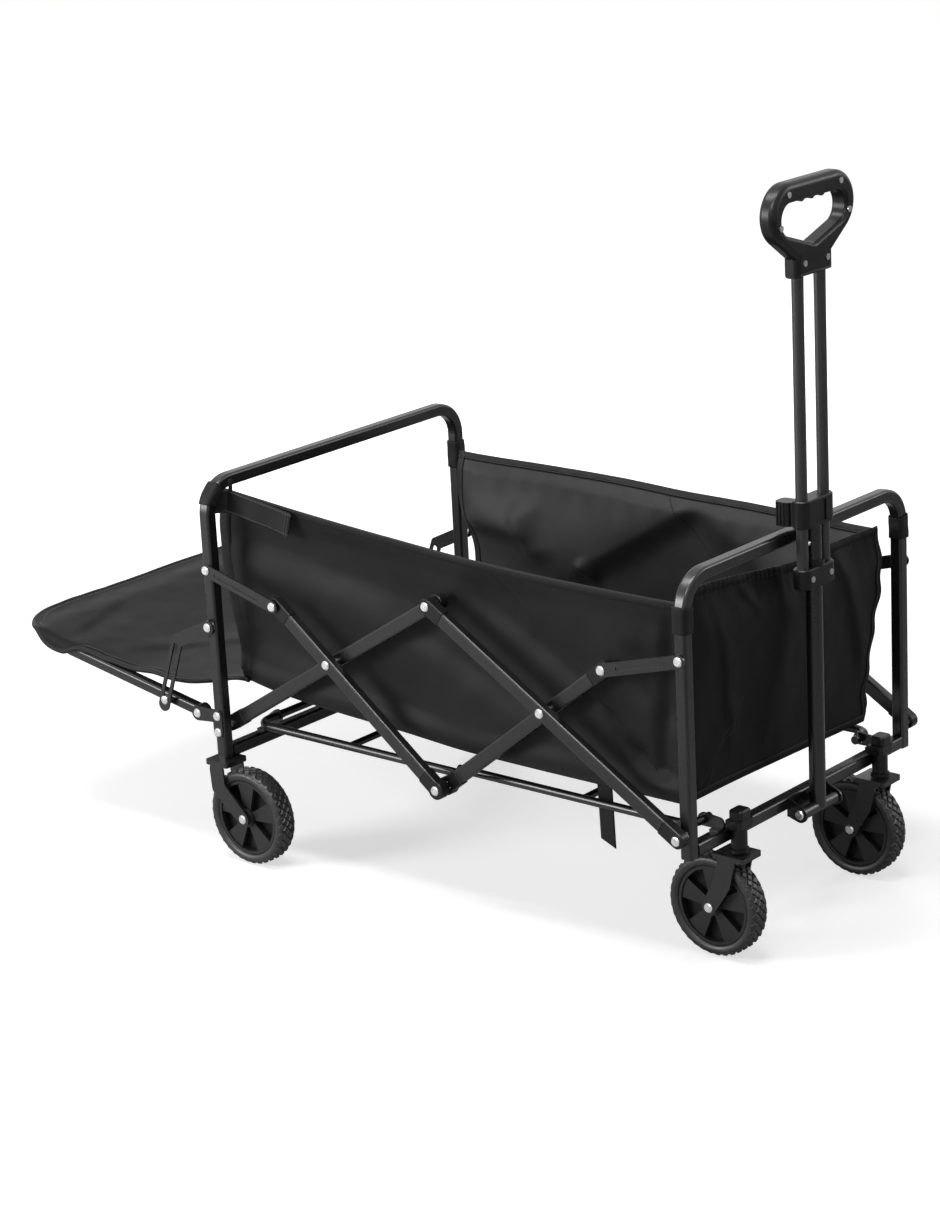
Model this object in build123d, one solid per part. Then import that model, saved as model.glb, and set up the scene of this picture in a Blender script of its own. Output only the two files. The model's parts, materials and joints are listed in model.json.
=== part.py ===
from build123d import *
import os
from math import atan2, cos, degrees, hypot, radians, sin

os.makedirs("parts", exist_ok=True)

# Folding utility wagon. Millimetres, +X to the pull handle, +Y to the left, +Z up, floor at Z = 0.

# Wheels and forks
WHEEL_R = 70.0
WHEEL_W = 33.0
TYRE_DEPTH = 16.0
RIM_R = WHEEL_R - TYRE_DEPTH
RIM_W = 26.0
RIM_WALL = 4.0
TYRE_ROUND = 5.0
HUB_R = 13.0
SPOKES = 5
SPOKE_HALF = 11.0
SPOKE_TIP = 16.0
WEB_T = 2.4
TRAIL = 36.0
FORK_GAP = 2.0
FORK_T = 3.0
TYRE_CLEAR = 5.0
FORK_TOP = 2 * WHEEL_R + TYRE_CLEAR
CROWN_T = 7.0
CROWN_L = 42.0
CROWN_FACE = FORK_TOP + 3.0
STEM_R = 6.0
STEM_H = 44.0
HOUSING_R = 10.8
HOUSING_H = (34.0, 46.0)
HOUSING_TOP = 59.0

# Frame tubes
LEG_X = 400.0
PLANE_OUT = 266.0
PLANE_PITCH = 21.0
PLANE_IN = PLANE_OUT - PLANE_PITCH
TUBE = 18.0
TUBE_R = 4.0
BEND_R = 44.0
FRONT_CROSS_LIFT = 24.0
FOOT_RISE = 23.0
REAR_RISE = 353.0
FRONT_RISE = 335.0
REAR_CROSS_Z = CROWN_FACE + TUBE / 2
FRONT_CROSS_Z = CROWN_FACE + FRONT_CROSS_LIFT
FOOT_Z = FRONT_CROSS_Z + FOOT_RISE
REAR_TOP_Z = FOOT_Z + REAR_RISE
FRONT_TOP_Z = FOOT_Z + FRONT_RISE
LEG_OUT_REAR = PLANE_OUT + TUBE / 2
LEG_OUT_FRONT = PLANE_IN + TUBE / 2
WHEEL_LEAD = 46.0
REAR_WHEEL_X = -LEG_X + WHEEL_LEAD
SWIVEL_LEAD = 19.0
SWIVEL_X = LEG_X + SWIVEL_LEAD
CASTER_Y = 164.0

# Running clearances, pins and rivet heads
GAP = 0.3
LINK_GAP = 0.4
SWIVEL_GAP = 1.5
PIN_R = 4.0
PIN_HOLE = PIN_R + GAP
HEAD_R = 6.5
HEAD_H = 2.6

# Folding side bars
BAR_W = 20.0
BAR_T = 14.0
CAP_W = 22.0
CAP_T = 14.6
CAP_BACK = 28.0
KNUCKLE_RISE = 244.0
KNUCKLE_DROP = 14.0
TOP_KNUCKLE_Z = FOOT_Z + KNUCKLE_RISE
LOW_KNUCKLE_Z = FOOT_Z - KNUCKLE_DROP
LOWER_ARM = 250.0
TAIL_ARM = 114.0
OPEN_HOLE = 9.0
OPEN_CAP_W = 26.0
LINK_RISE = 233.0
LINK_Z = FOOT_Z + LINK_RISE
LINK_T = 2.5
LINK_R = 9.0

# Floor frame under the cloth
ROD_R = 6.0
ROD_BEND = 24.0
FLOOR_Z = FRONT_CROSS_Z + 18.0
FLOOR_X = LEG_X - 24.0
FLOOR_Y_REAR = PLANE_IN - 23.0
FLOOR_Y_FRONT = PLANE_IN - 37.0
FLOOR_LAP = 12.0
FLOOR_HOOK = 168.0
FLOOR_CROSS_X = 200.0
BRACKET_Y = 180.0
BRACKET_T = 3.0

# Tailgate
GATE_X = -LEG_X - 39.0
GATE_Z = FOOT_Z + 16.0
GATE_TILT = 10.0
GATE_BAR_R = 8.0
GATE_BEND = 60.0
GATE_LEN = 325.0
GATE_PANEL = (30.0, 384.0)
GATE_CORNER_R = 70.0
PANEL_T = 6.0
PANEL_LIFT = GATE_BAR_R + 0.5
STAY_Z = FOOT_Z + 151.0
STAY_BEND = (-LEG_X - 64.0, STAY_Z - 30.0)
STAY_R = 10.0
SLOT_R = 4.2
SLOT_PIN = 60.0
STAY_Y = LEG_OUT_REAR + 5.5
STAY_T = 2.5
HINGE_T = 2.5

# Handle
HANDLE_X = LEG_X + 29.0
HANDLE_Z = FRONT_CROSS_Z - 11.0
MAST_R = 11.0
BARREL_HALF = 38.0
BARREL_R = 8.5
EAR_T = 3.0
ROD_Y = 24.5
HANDLE_ROD_R = 7.75
LOW_COLLAR = (FRONT_TOP_Z - 64.0, FRONT_TOP_Z - 37.0)
TOP_COLLAR = (FRONT_TOP_Z + 17.0, FRONT_TOP_Z + 54.0)
COLLAR_W = 72.0
COLLAR_D = 26.0
SLEEVE_H = 7.0
GRIP_TOP = 995.0
GRIP_H = 123.0
GRIP_Z = GRIP_TOP - GRIP_H
GRIP_HALF = 91.0
GRIP_LOBE_R = 41.0
GRIP_NECK = 78.0
GRIP_D = 25.0
GRIP_ROUND = 8.5
GRIP_RING = 20.5
WINDOW_ROUND = 5.0
WAVE_R = 9.0
SCREW_R = 4.0
SCREW_H = 1.2
COLLAR_SCREW_Y = 21.0
BUTTON_Z = FRONT_TOP_Z - 6.0
BUTTON_R = 4.0

# Cloth basket
CLOTH_T = 3.0
WALL_Y = PLANE_IN - 16.0
CLOTH_FRONT_X = LEG_X - TUBE / 2 - GAP
WALL_FRONT_X = CLOTH_FRONT_X - CLOTH_T - GAP
RIGHT_REAR_X = -LEG_X
LEFT_REAR_X = -LEG_X + 50.0
CLOTH_FLOOR_Z = FLOOR_Z + 30.0
RAMP_END_X = 40.0
RAMP_RISE = 34.0
RIGHT_RIM = (REAR_TOP_Z - 15.0, FRONT_TOP_Z - 36.0)
LEFT_RIM = (REAR_TOP_Z - 61.0, FRONT_TOP_Z - 52.0)
RIM_SAG = 14.0
FRONT_PANEL_TOP = FRONT_TOP_Z - 36.0
STRAP_X = 231.0
STRAP_W = 24.0
STRAP_L = 92.0
STRAP_T = 2.0


def gate_point(distance, rise):
    a = radians(GATE_TILT)
    return GATE_X - distance * cos(a) + rise * sin(a), GATE_Z + distance * sin(a) + rise * cos(a)


# The part's origin stands midway between the tailgate's edge and the front wheels
REAR_REACH = gate_point(GATE_PANEL[1], PANEL_LIFT)[0]
FRONT_REACH = SWIVEL_X - TRAIL + WHEEL_R
CENTRE_X = (REAR_REACH + FRONT_REACH) / 2


def save(name, *shapes):
    placed = [Pos(-CENTRE_X, 0, 0) * s for shape in shapes for s in shape.solids()]
    export_step(Compound(children=placed), f"parts/{name}.step")


def both(shape):
    return Compound(children=list(shape.solids()) + list(mirror(shape, about=Plane.XZ).solids()))


def plate(outline, y_from, y_to):
    return extrude(Plane.XZ.offset(-y_from) * outline, amount=y_from - y_to)


def taper(p, rp, q, rq):
    return make_hull((Pos(*p) * Circle(rp)).edges() + (Pos(*q) * Circle(rq)).edges())


def chain(*stations):
    shape = taper(stations[0][:2], stations[0][2], stations[1][:2], stations[1][2])
    for a, b in zip(stations[1:], stations[2:]):
        shape += taper(a[:2], a[2], b[:2], b[2])
    return shape


def pin(x, z, y_from, y_to, r):
    return plate(Pos(x, z) * Circle(r), y_from, y_to)


def head(x, z, y_face, out):
    blank = pin(x, z, y_face, y_face + out * HEAD_H, HEAD_R)
    rim = blank.edges().filter_by(GeomType.CIRCLE).sort_by(Axis.Y)
    return chamfer(rim[-1 if out > 0 else 0], HEAD_H * 0.55)


def along(p, q, distance):
    length = hypot(q[0] - p[0], q[1] - p[1])
    return p[0] + (q[0] - p[0]) * distance / length, p[1] + (q[1] - p[1]) * distance / length


# Pivot points of the right side, as (x, z); the front ones mirror the rear ones
foot = (-LEG_X, FOOT_Z)
top_knuckle = (0.0, TOP_KNUCKLE_Z)
low_knuckle = (0.0, LOW_KNUCKLE_Z)
mid = along(foot, top_knuckle, LOWER_ARM)
tail = along(mid, low_knuckle, -TAIL_ARM)


def front(p):
    return -p[0], p[1]


def u_frame(x, half_y, top_z, end_z):
    spine = FilletPolyline(
        (x, -half_y, end_z), (x, -half_y, top_z), (x, half_y, top_z), (x, half_y, end_z), radius=BEND_R
    )
    return sweep(Plane(spine @ 0, z_dir=spine % 0) * RectangleRounded(TUBE, TUBE, TUBE_R), path=spine)


def cross_tube(x, z, half_y):
    section = Plane.XZ.offset(half_y) * Pos(x, z) * RectangleRounded(TUBE, TUBE, TUBE_R)
    return extrude(section, amount=-2 * half_y)


def bar(p, q, plane_y, holes):
    start = along(p, q, CAP_BACK)
    end = along(q, p, CAP_BACK)
    length = hypot(end[0] - start[0], end[1] - start[1])
    turn = degrees(atan2(end[1] - start[1], end[0] - start[0]))
    centre = ((start[0] + end[0]) / 2, (start[1] + end[1]) / 2)
    outline = Pos(*centre) * Rot(0, 0, turn) * Rectangle(length, BAR_W)
    blank = plate(outline, -plane_y + BAR_T / 2, -plane_y - BAR_T / 2)
    run = Axis((0, 0, 0), (cos(radians(turn)), 0, sin(radians(turn))))
    blank = fillet(blank.edges().filter_by(run), 3.0)
    for x, z in holes:
        blank -= pin(x, z, 0, -2 * plane_y, PIN_HOLE)
    return blank


def bar_cap(p, q, plane_y, hole, width):
    back = along(p, q, CAP_BACK)
    turn = degrees(atan2(q[1] - p[1], q[0] - p[0]))
    middle = ((p[0] + back[0]) / 2, (p[1] + back[1]) / 2)
    outline = Pos(*p) * Circle(width / 2) + Pos(*middle) * Rot(0, 0, turn) * Rectangle(CAP_BACK, CAP_W)
    blank = plate(outline, -plane_y + CAP_T / 2, -plane_y - CAP_T / 2)
    blank = chamfer(blank.faces().filter_by(Axis.Y).edges(), 1.2)
    if hole:
        blank -= pin(*p, 0, -2 * plane_y, hole)
    return blank


def through_rivet(p, bar_out):
    inner = PLANE_IN - CAP_T / 2 - GAP
    shank = pin(*p, -PLANE_OUT + bar_out / 2, -inner, PIN_R) + head(*p, -inner, 1)
    return [head(*p, -PLANE_OUT - bar_out / 2, -1), shank]


def make_side_bars():
    pairs = {
        "rear_rising": (foot, top_knuckle, PLANE_IN, PIN_HOLE, PIN_HOLE, CAP_W, CAP_W, [mid]),
        "rear_falling": (tail, low_knuckle, PLANE_OUT, 0, 0, CAP_W, OPEN_CAP_W, []),
        "front_falling": (front(foot), top_knuckle, PLANE_OUT, PIN_HOLE, 0, CAP_W, CAP_W, []),
        "front_rising": (front(tail), low_knuckle, PLANE_IN, 0, OPEN_HOLE, CAP_W, OPEN_CAP_W, [front(mid)]),
    }
    for name, (p, q, plane_y, hole_p, hole_q, width_p, width_q, holes) in pairs.items():
        save(f"{name}_bars", both(bar(p, q, plane_y, holes)))
        ends = [bar_cap(p, q, plane_y, hole_p, width_p), bar_cap(q, p, plane_y, hole_q, width_q)]
        save(f"{name}_caps", both(Compound(children=ends)))
    rear = through_rivet(mid, BAR_T) + through_rivet(low_knuckle, CAP_T)
    fore = through_rivet(front(mid), BAR_T) + through_rivet(top_knuckle, CAP_T)
    save("rear_falling_rivets", both(Compound(children=rear)))
    save("front_falling_rivets", both(Compound(children=fore)))


def make_links():
    for name, leg, far, leg_out in (
        ("rear", (-LEG_X, LINK_Z), tail, LEG_OUT_REAR),
        ("front", (LEG_X, LINK_Z), front(tail), LEG_OUT_FRONT),
    ):
        inner = leg_out + LINK_GAP
        link = plate(taper(leg, LINK_R, far, LINK_R), -inner, -inner - LINK_T)
        near, away = along(leg, far, 18), along(leg, far, 100)
        link -= plate(taper(near, 2.6, away, 2.6), -inner - LINK_T + 0.9, -inner - LINK_T - 1)
        link -= pin(*leg, 0, -leg_out - 20, PIN_HOLE)
        save(f"{name}_links", both(link))
        save(f"{name}_link_rivets", both(head(*far, -inner - LINK_T, -1)))


def pivot_stud(p, leg_face, near_face, far_face, out):
    stud = pin(*p, out * leg_face, out * near_face, HEAD_R)
    stud += pin(*p, out * near_face, out * far_face, PIN_R)
    return stud + head(*p, out * far_face, 1 if out * far_face > out * near_face else -1)


def fork(hub_x, top_x, y, drop):
    half = WHEEL_W / 2 + FORK_GAP
    shoulder, elbow = (top_x, FORK_TOP - 10, 13.0), (top_x + drop, FORK_TOP - 36, 13.0)
    leg_outline = chain(shoulder, elbow, (hub_x, WHEEL_R, 10.5))
    leg_outline -= Pos(top_x, FORK_TOP + 15) * Rectangle(90, 30)
    legs = plate(leg_outline, -y - half, -y - half - FORK_T)
    legs += plate(leg_outline, -y + half + FORK_T, -y + half)
    return legs + fork_crown(top_x, y, CROWN_L, half)


def fork_crown(x, y, length, half):
    outline = RectangleRounded(length, 2 * half + 2 * FORK_T, 4)
    return Pos(x, -y, CROWN_FACE - CROWN_T) * extrude(outline, amount=CROWN_T)


def axle(hub_x, y):
    half = WHEEL_W / 2 + FORK_GAP
    shaft = pin(hub_x, WHEEL_R, -y + half, -y - half, PIN_R)
    return [shaft, head(hub_x, WHEEL_R, -y - half - FORK_T, -1), head(hub_x, WHEEL_R, -y + half + FORK_T, 1)]


def tyre():
    inner = RIM_R + GAP
    wall = WHEEL_R - inner
    section = RectangleRounded(wall, WHEEL_W, min(TYRE_ROUND, 0.32 * wall))
    return revolve(Plane.XZ * Pos((WHEEL_R + inner) / 2, 0) * section, Axis.Z)


def rim():
    ring = Cylinder(RIM_R, RIM_W) - Cylinder(RIM_R - RIM_WALL, RIM_W + 4)
    body = ring + Cylinder(RIM_R - RIM_WALL / 2, WEB_T) + Cylinder(HUB_R, WHEEL_W - 2)
    reach = RIM_R - RIM_WALL + 1
    wedge = Polygon((0, -3), (reach, -SPOKE_TIP), (reach, SPOKE_TIP), (0, 3), align=None)
    spoke = extrude(wedge, amount=SPOKE_HALF, both=True)
    for i in range(SPOKES):
        body += Rot(0, 0, 360 * i / SPOKES) * spoke
    return body - Cylinder(PIN_HOLE, WHEEL_W + 2)


def make_wheels():
    sides = {
        "rear_right": (REAR_WHEEL_X, -PLANE_OUT),
        "rear_left": (REAR_WHEEL_X, PLANE_OUT),
        "front_right": (SWIVEL_X - TRAIL, -CASTER_Y),
        "front_left": (SWIVEL_X - TRAIL, CASTER_Y),
    }
    for name, (x, y) in sides.items():
        place = Pos(x, y, WHEEL_R) * Rot(90, 0, 0) * Rot(0, 0, 18)
        save(f"tyre_{name}", place * tyre())
        save(f"rim_{name}", place * rim())


def make_rear_frame():
    save("rear_frame_tube", u_frame(-LEG_X, PLANE_OUT, REAR_TOP_Z, CROWN_FACE))
    save("rear_cross_tube", cross_tube(-LEG_X, REAR_CROSS_Z, PLANE_OUT - TUBE / 2))
    save("rear_wheel_forks", both(fork(REAR_WHEEL_X, -LEG_X, PLANE_OUT, 2.0)))
    gate = (GATE_X, GATE_Z)
    fixings = [(-LEG_X, GATE_Z + 2), (-LEG_X, GATE_Z - 22)]
    hinge = chain((*fixings[1], 8.5), (*fixings[0], 9.0), (*gate, 11.0))
    save("tailgate_hinge_plates", both(plate(hinge, -LEG_OUT_REAR, -LEG_OUT_REAR - HINGE_T)))
    rivets = [head(*p, -LEG_OUT_REAR - HINGE_T, -1) for p in fixings + [gate]]
    rivets.append(pin(*gate, -LEG_OUT_REAR, -PLANE_OUT + 9, PIN_R))
    rivets.append(pivot_stud((-LEG_X, STAY_Z), LEG_OUT_REAR, STAY_Y - GAP, STAY_Y + STAY_T + GAP, -1))
    link_y = LEG_OUT_REAR + LINK_GAP + LINK_T + GAP
    rivets.append(pin(-LEG_X, LINK_Z, -LEG_OUT_REAR, -link_y, PIN_R) + head(-LEG_X, LINK_Z, -link_y, -1))
    leg_in = PLANE_OUT - TUBE / 2
    rivets.append(pivot_stud(foot, leg_in, PLANE_IN + CAP_T / 2 + GAP, PLANE_IN - CAP_T / 2 - GAP, -1))
    rivets += axle(REAR_WHEEL_X, PLANE_OUT)
    save("rear_frame_rivets", both(Compound(children=[s for r in rivets for s in r.solids()])))


def floor_bracket(leg_x, cross_z):
    eye_x = FLOOR_X if leg_x > 0 else -FLOOR_X
    top = cross_z + TUBE / 2
    seat = Pos(leg_x, -BRACKET_Y, top + BRACKET_T / 2) * Box(14, 26, BRACKET_T)
    outline = chain((leg_x, top + 8, 8.0), (eye_x, FLOOR_Z, ROD_R + 3.2))
    outline -= Pos(leg_x, top - 15) * Rectangle(60, 30)
    arm = plate(outline, -BRACKET_Y + BRACKET_T / 2, -BRACKET_Y - BRACKET_T / 2)
    return seat + arm - pin(eye_x, FLOOR_Z, 0, -2 * BRACKET_Y, ROD_R + GAP)


def make_floor_frames():
    for name, side, y in (("rear", -1, FLOOR_Y_REAR), ("front", 1, FLOOR_Y_FRONT)):
        x = side * FLOOR_X
        tip = -side * FLOOR_LAP
        corners = [(tip, -y, FLOOR_Z), (x, -y, FLOOR_Z), (x, -FLOOR_HOOK, FLOOR_Z)]
        spine = FilletPolyline(*corners, radius=ROD_BEND)
        rod = sweep(Plane(spine @ 0, z_dir=spine % 0) * Circle(ROD_R), path=spine)
        cross = pin(side * FLOOR_CROSS_X, FLOOR_Z, y, -y, ROD_R - 1)
        save(f"{name}_floor_frame", rod + mirror(rod, about=Plane.XZ) + cross)
    save("rear_floor_brackets", both(floor_bracket(-LEG_X, REAR_CROSS_Z)))
    save("front_floor_brackets", both(floor_bracket(LEG_X, FRONT_CROSS_Z)))


def make_tailgate():
    start, end = gate_point(4, 0), gate_point(GATE_LEN, 0)
    y = PLANE_OUT
    corners = [(p[0], side * y, p[1]) for p, side in ((start, -1), (end, -1), (end, 1), (start, 1))]
    spine = FilletPolyline(*corners, radius=GATE_BEND)
    section = RectangleRounded(2 * GATE_BAR_R, 2 * GATE_BAR_R, TUBE_R)
    tube = sweep(Plane(spine @ 0, x_dir=(0, 1, 0), z_dir=spine % 0) * section, path=spine)
    eye = plate(Pos(GATE_X, GATE_Z) * Circle(11), -y + 6.5, -y - 6.5)
    slot_pin = gate_point(SLOT_PIN, 0)
    eye += plate(Pos(*slot_pin) * Circle(6.5), -y, -y - PANEL_LIFT)
    tube += eye + mirror(eye, about=Plane.XZ)
    hole = pin(GATE_X, GATE_Z, y + 20, -y - 20, PIN_HOLE)
    save("tailgate_frame", tube - hole)
    near, far = GATE_PANEL
    outline = Rectangle(far - near, 2 * PLANE_OUT - 8)
    panel = extrude(outline, amount=PANEL_T)
    panel = fillet(panel.edges().filter_by(Axis.Z).group_by(Axis.X)[-1], GATE_CORNER_R)
    panel = Pos((near + far) / 2, 0, PANEL_LIFT) * panel
    tilt = Pos(GATE_X, 0, GATE_Z) * Rot(0, GATE_TILT, 0) * Rot(0, 0, 180)
    save("tailgate_panel", tilt * panel)
    save("tailgate_rivets", both(pin(*slot_pin, -y - PANEL_LIFT, -STAY_Y + GAP, 5.5)))
    stay_end = along(STAY_BEND, slot_pin, hypot(STAY_BEND[0] - slot_pin[0], STAY_BEND[1] - slot_pin[1]) + 8)
    stay = chain((-LEG_X, STAY_Z, STAY_R), (*STAY_BEND, STAY_R), (*stay_end, STAY_R))
    stay -= taper(along(STAY_BEND, slot_pin, 8), SLOT_R, slot_pin, SLOT_R)
    stay -= Pos(-LEG_X, STAY_Z) * Circle(PIN_HOLE)
    save("tailgate_stays", both(plate(stay, -STAY_Y, -STAY_Y - STAY_T)))


def make_front_frame():
    end = FRONT_CROSS_Z - TUBE / 2
    save("front_frame_tube", u_frame(LEG_X, PLANE_IN, FRONT_TOP_Z, end))
    save("front_cross_tube", cross_tube(LEG_X, FRONT_CROSS_Z, PLANE_IN - TUBE / 2))
    link_y = LEG_OUT_FRONT + LINK_GAP + LINK_T + GAP
    rivets = [pin(LEG_X, LINK_Z, -LEG_OUT_FRONT, -link_y, PIN_R) + head(LEG_X, LINK_Z, -link_y, -1)]
    near, far = PLANE_OUT - CAP_T / 2 - GAP, PLANE_OUT + CAP_T / 2 + GAP
    rivets.append(pivot_stud(front(foot), LEG_OUT_FRONT, near, far, -1))
    ear_out = BARREL_HALF + 1 + EAR_T
    rivets.append(head(HANDLE_X, HANDLE_Z, -ear_out, -1))
    bolt = pin(HANDLE_X, HANDLE_Z, ear_out - EAR_T, -ear_out + EAR_T, PIN_R)
    save("front_frame_rivets", both(Compound(children=rivets)), bolt)
    face = LEG_X + TUBE / 2
    ear = chain((face + 4, HANDLE_Z + 6, 12.0), (HANDLE_X, HANDLE_Z, 11.0))
    ear -= Pos(face - 20, HANDLE_Z) * Rectangle(40, 80)
    ears = both(plate(ear, -ear_out + EAR_T, -ear_out))
    back = Pos(face + 1.5, 0, HANDLE_Z + 6) * Box(3, 2 * ear_out, 24)
    save("handle_bracket", back + ears.solids()[0] + ears.solids()[1])
    make_caster_housings(face)


def make_caster_housings(face):
    seat = Pos(face + 20, 0) * Rectangle(40, 60)
    low = CROWN_FACE + SWIVEL_GAP
    clip = RectangleRounded(26, 32, 5)
    cap = Pos(2, 0) * RectangleRounded(21, 24, 5)
    steps = [(Circle(13), 0, 5), (Circle(HOUSING_R), 0, HOUSING_H[0])]
    steps += [(clip, HOUSING_H[0], HOUSING_H[1]), (cap, HOUSING_H[1], HOUSING_TOP)]
    body = Part()
    for outline, base, top in steps:
        step = extrude(Pos(SWIVEL_X, 0) * outline & seat, amount=top - base)
        body += Pos(0, -CASTER_Y, low + base) * step
    body = chamfer(body.faces().sort_by(Axis.Z)[-1].edges(), 2)
    body -= Pos(SWIVEL_X, -CASTER_Y, low + 20) * Cylinder(STEM_R + GAP, STEM_H + 12)
    save("caster_housings", both(body))


def make_casters():
    for name, y in (("right", CASTER_Y), ("left", -CASTER_Y)):
        body = fork(SWIVEL_X - TRAIL, SWIVEL_X - 8, y, -6.0)
        body += fork_crown(SWIVEL_X - 2, y, 44, WHEEL_W / 2 + FORK_GAP)
        body += Pos(SWIVEL_X, -y, CROWN_FACE) * extrude(Circle(STEM_R), amount=STEM_H)
        save(f"caster_fork_{name}", body)
        save(f"caster_axle_{name}", *axle(SWIVEL_X - TRAIL, y))


def collar(z_range):
    low, high = z_range
    block = extrude(RectangleRounded(COLLAR_D, COLLAR_W, COLLAR_D / 2 - 0.1), amount=high - low)
    block = chamfer(block.faces().filter_by(Axis.Z).edges(), 1.5)
    return Pos(HANDLE_X, 0, low) * block


def upright(y, radius, low, high):
    return Pos(HANDLE_X, y, low) * extrude(Circle(radius), amount=high - low)


def grip_lobes(radius, bottom):
    reach = GRIP_HALF - GRIP_LOBE_R
    lobe_z = GRIP_TOP - GRIP_LOBE_R
    return rounded_triangle([(-reach, lobe_z, radius), (reach, lobe_z, radius), bottom])


def grip_half(side):
    lobe_z = GRIP_TOP - GRIP_LOBE_R
    neck_h = lobe_z - 50 - GRIP_Z
    neck = Pos(0, GRIP_Z + neck_h / 2) * Rectangle(GRIP_NECK, neck_h)
    outline = grip_lobes(GRIP_LOBE_R, (0, lobe_z - 44, 34)) + neck
    window_r = GRIP_LOBE_R - GRIP_RING
    outline -= Pos(0, -5) * grip_lobes(window_r, (0, lobe_z - 23, 14))
    half = extrude(Plane.YZ.offset(HANDLE_X) * outline, amount=side * GRIP_D / 2)
    face = half.faces().sort_by(Axis.X)[-1 if side > 0 else 0]
    half = fillet(face.outer_wire().edges(), GRIP_ROUND)
    face = half.faces().filter_by(Axis.X).sort_by(Axis.X)[-1 if side > 0 else 0]
    half = fillet(face.inner_wires()[0].edges(), WINDOW_ROUND)
    wave_z = lobe_z + window_r - 5 + WAVE_R - 2.6
    for y in (-22, 0, 22):
        wave = Plane.YZ.offset(HANDLE_X) * (Pos(y, wave_z) * Circle(WAVE_R))
        half += extrude(wave, amount=side * (GRIP_D / 2 - WINDOW_ROUND))
    return half


def rounded_triangle(corners):
    edges = [(Pos(y, z) * Circle(r)).edges() for y, z, r in corners]
    return make_hull(edges[0] + edges[1] + edges[2])


def screw(face_x, y, z):
    return Pos(face_x, y, z) * Rot(0, 90, 0) * extrude(Circle(SCREW_R), amount=SCREW_H)


def make_handle():
    barrel = pin(HANDLE_X, HANDLE_Z, BARREL_HALF, -BARREL_HALF, BARREL_R)
    mast = upright(0, MAST_R, HANDLE_Z, TOP_COLLAR[0]) + barrel
    mast -= pin(HANDLE_X, HANDLE_Z, 60, -60, PIN_HOLE)
    mast -= pin(HANDLE_X, BUTTON_Z, -3, -20, BUTTON_R + GAP)
    save("handle_tube", mast)
    button = pin(HANDLE_X, BUTTON_Z, -MAST_R + 3, -MAST_R - 5, BUTTON_R)
    save("snap_button", chamfer(button.edges().sort_by(Axis.Y)[0], 1.2))
    rods = [upright(y, HANDLE_ROD_R, LOW_COLLAR[1], GRIP_Z) for y in (-ROD_Y, ROD_Y)]
    save("handle_rods", *rods)
    make_collars()
    for name, side in (("front", 1), ("rear", -1)):
        save(f"grip_{name}_half", grip_half(side))
    pairs = ((57, GRIP_TOP - 14), (75, GRIP_TOP - 53), (25, GRIP_Z + 18))
    spots = [(side * y, z) for y, z in pairs for side in (-1, 1)]
    screws = [screw(HANDLE_X + GRIP_D / 2, y, z) for y, z in spots]
    collar_spots = [(y, sum(LOW_COLLAR) / 2) for y in (-COLLAR_SCREW_Y, COLLAR_SCREW_Y)]
    screws += [screw(HANDLE_X + COLLAR_D / 2, y, z) for y, z in collar_spots]
    save("handle_screws", *screws)


def make_collars():
    top = collar(TOP_COLLAR)
    for y in (-ROD_Y, ROD_Y):
        top -= upright(y, HANDLE_ROD_R + GAP, TOP_COLLAR[0] - 20, TOP_COLLAR[1] + 20)
    lobe_h = TOP_COLLAR[1] - TOP_COLLAR[0] - 5
    top -= Pos(HANDLE_X + COLLAR_D / 2, 0, sum(TOP_COLLAR) / 2) * Box(3.6, 24, lobe_h - 4)
    lobe = Pos(LEG_X + 2, -20, TOP_COLLAR[0]) * extrude(RectangleRounded(24, 24, 8), amount=lobe_h)
    for i in range(3):
        lobe -= Pos(LEG_X - 3 + 5 * i, -32, TOP_COLLAR[0] + lobe_h / 2) * Box(2.2, 2.4, 40)
    lobe += Pos(LEG_X + 13, -20, TOP_COLLAR[0] + lobe_h / 2) * Box(12, 14, lobe_h)
    save("upper_collar", top + lobe)
    low = collar(LOW_COLLAR) + upright(0, MAST_R + 3, LOW_COLLAR[1], LOW_COLLAR[1] + SLEEVE_H)
    save("lower_collar", low - upright(0, MAST_R + GAP, LOW_COLLAR[0] - 20, LOW_COLLAR[1] + 20))


def basket_wall(rear_x, rim):
    rear_z, front_z = rim
    sag_x = (rear_x + WALL_FRONT_X) / 2
    top_edge = Spline((rear_x, rear_z), (sag_x, (rear_z + front_z) / 2 - RIM_SAG), (WALL_FRONT_X, front_z))
    share = (RAMP_END_X - rear_x) / (RAMP_END_X - RIGHT_REAR_X)
    low_rear = Line((RAMP_END_X, CLOTH_FLOOR_Z), (rear_x, CLOTH_FLOOR_Z + RAMP_RISE * share))
    low_front = Line((WALL_FRONT_X, CLOTH_FLOOR_Z), (RAMP_END_X, CLOTH_FLOOR_Z))
    ends = [Line(top_edge @ 1, low_front @ 0), Line(low_rear @ 1, top_edge @ 0)]
    return make_face([top_edge, ends[0], low_front, low_rear, ends[1]])


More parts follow.
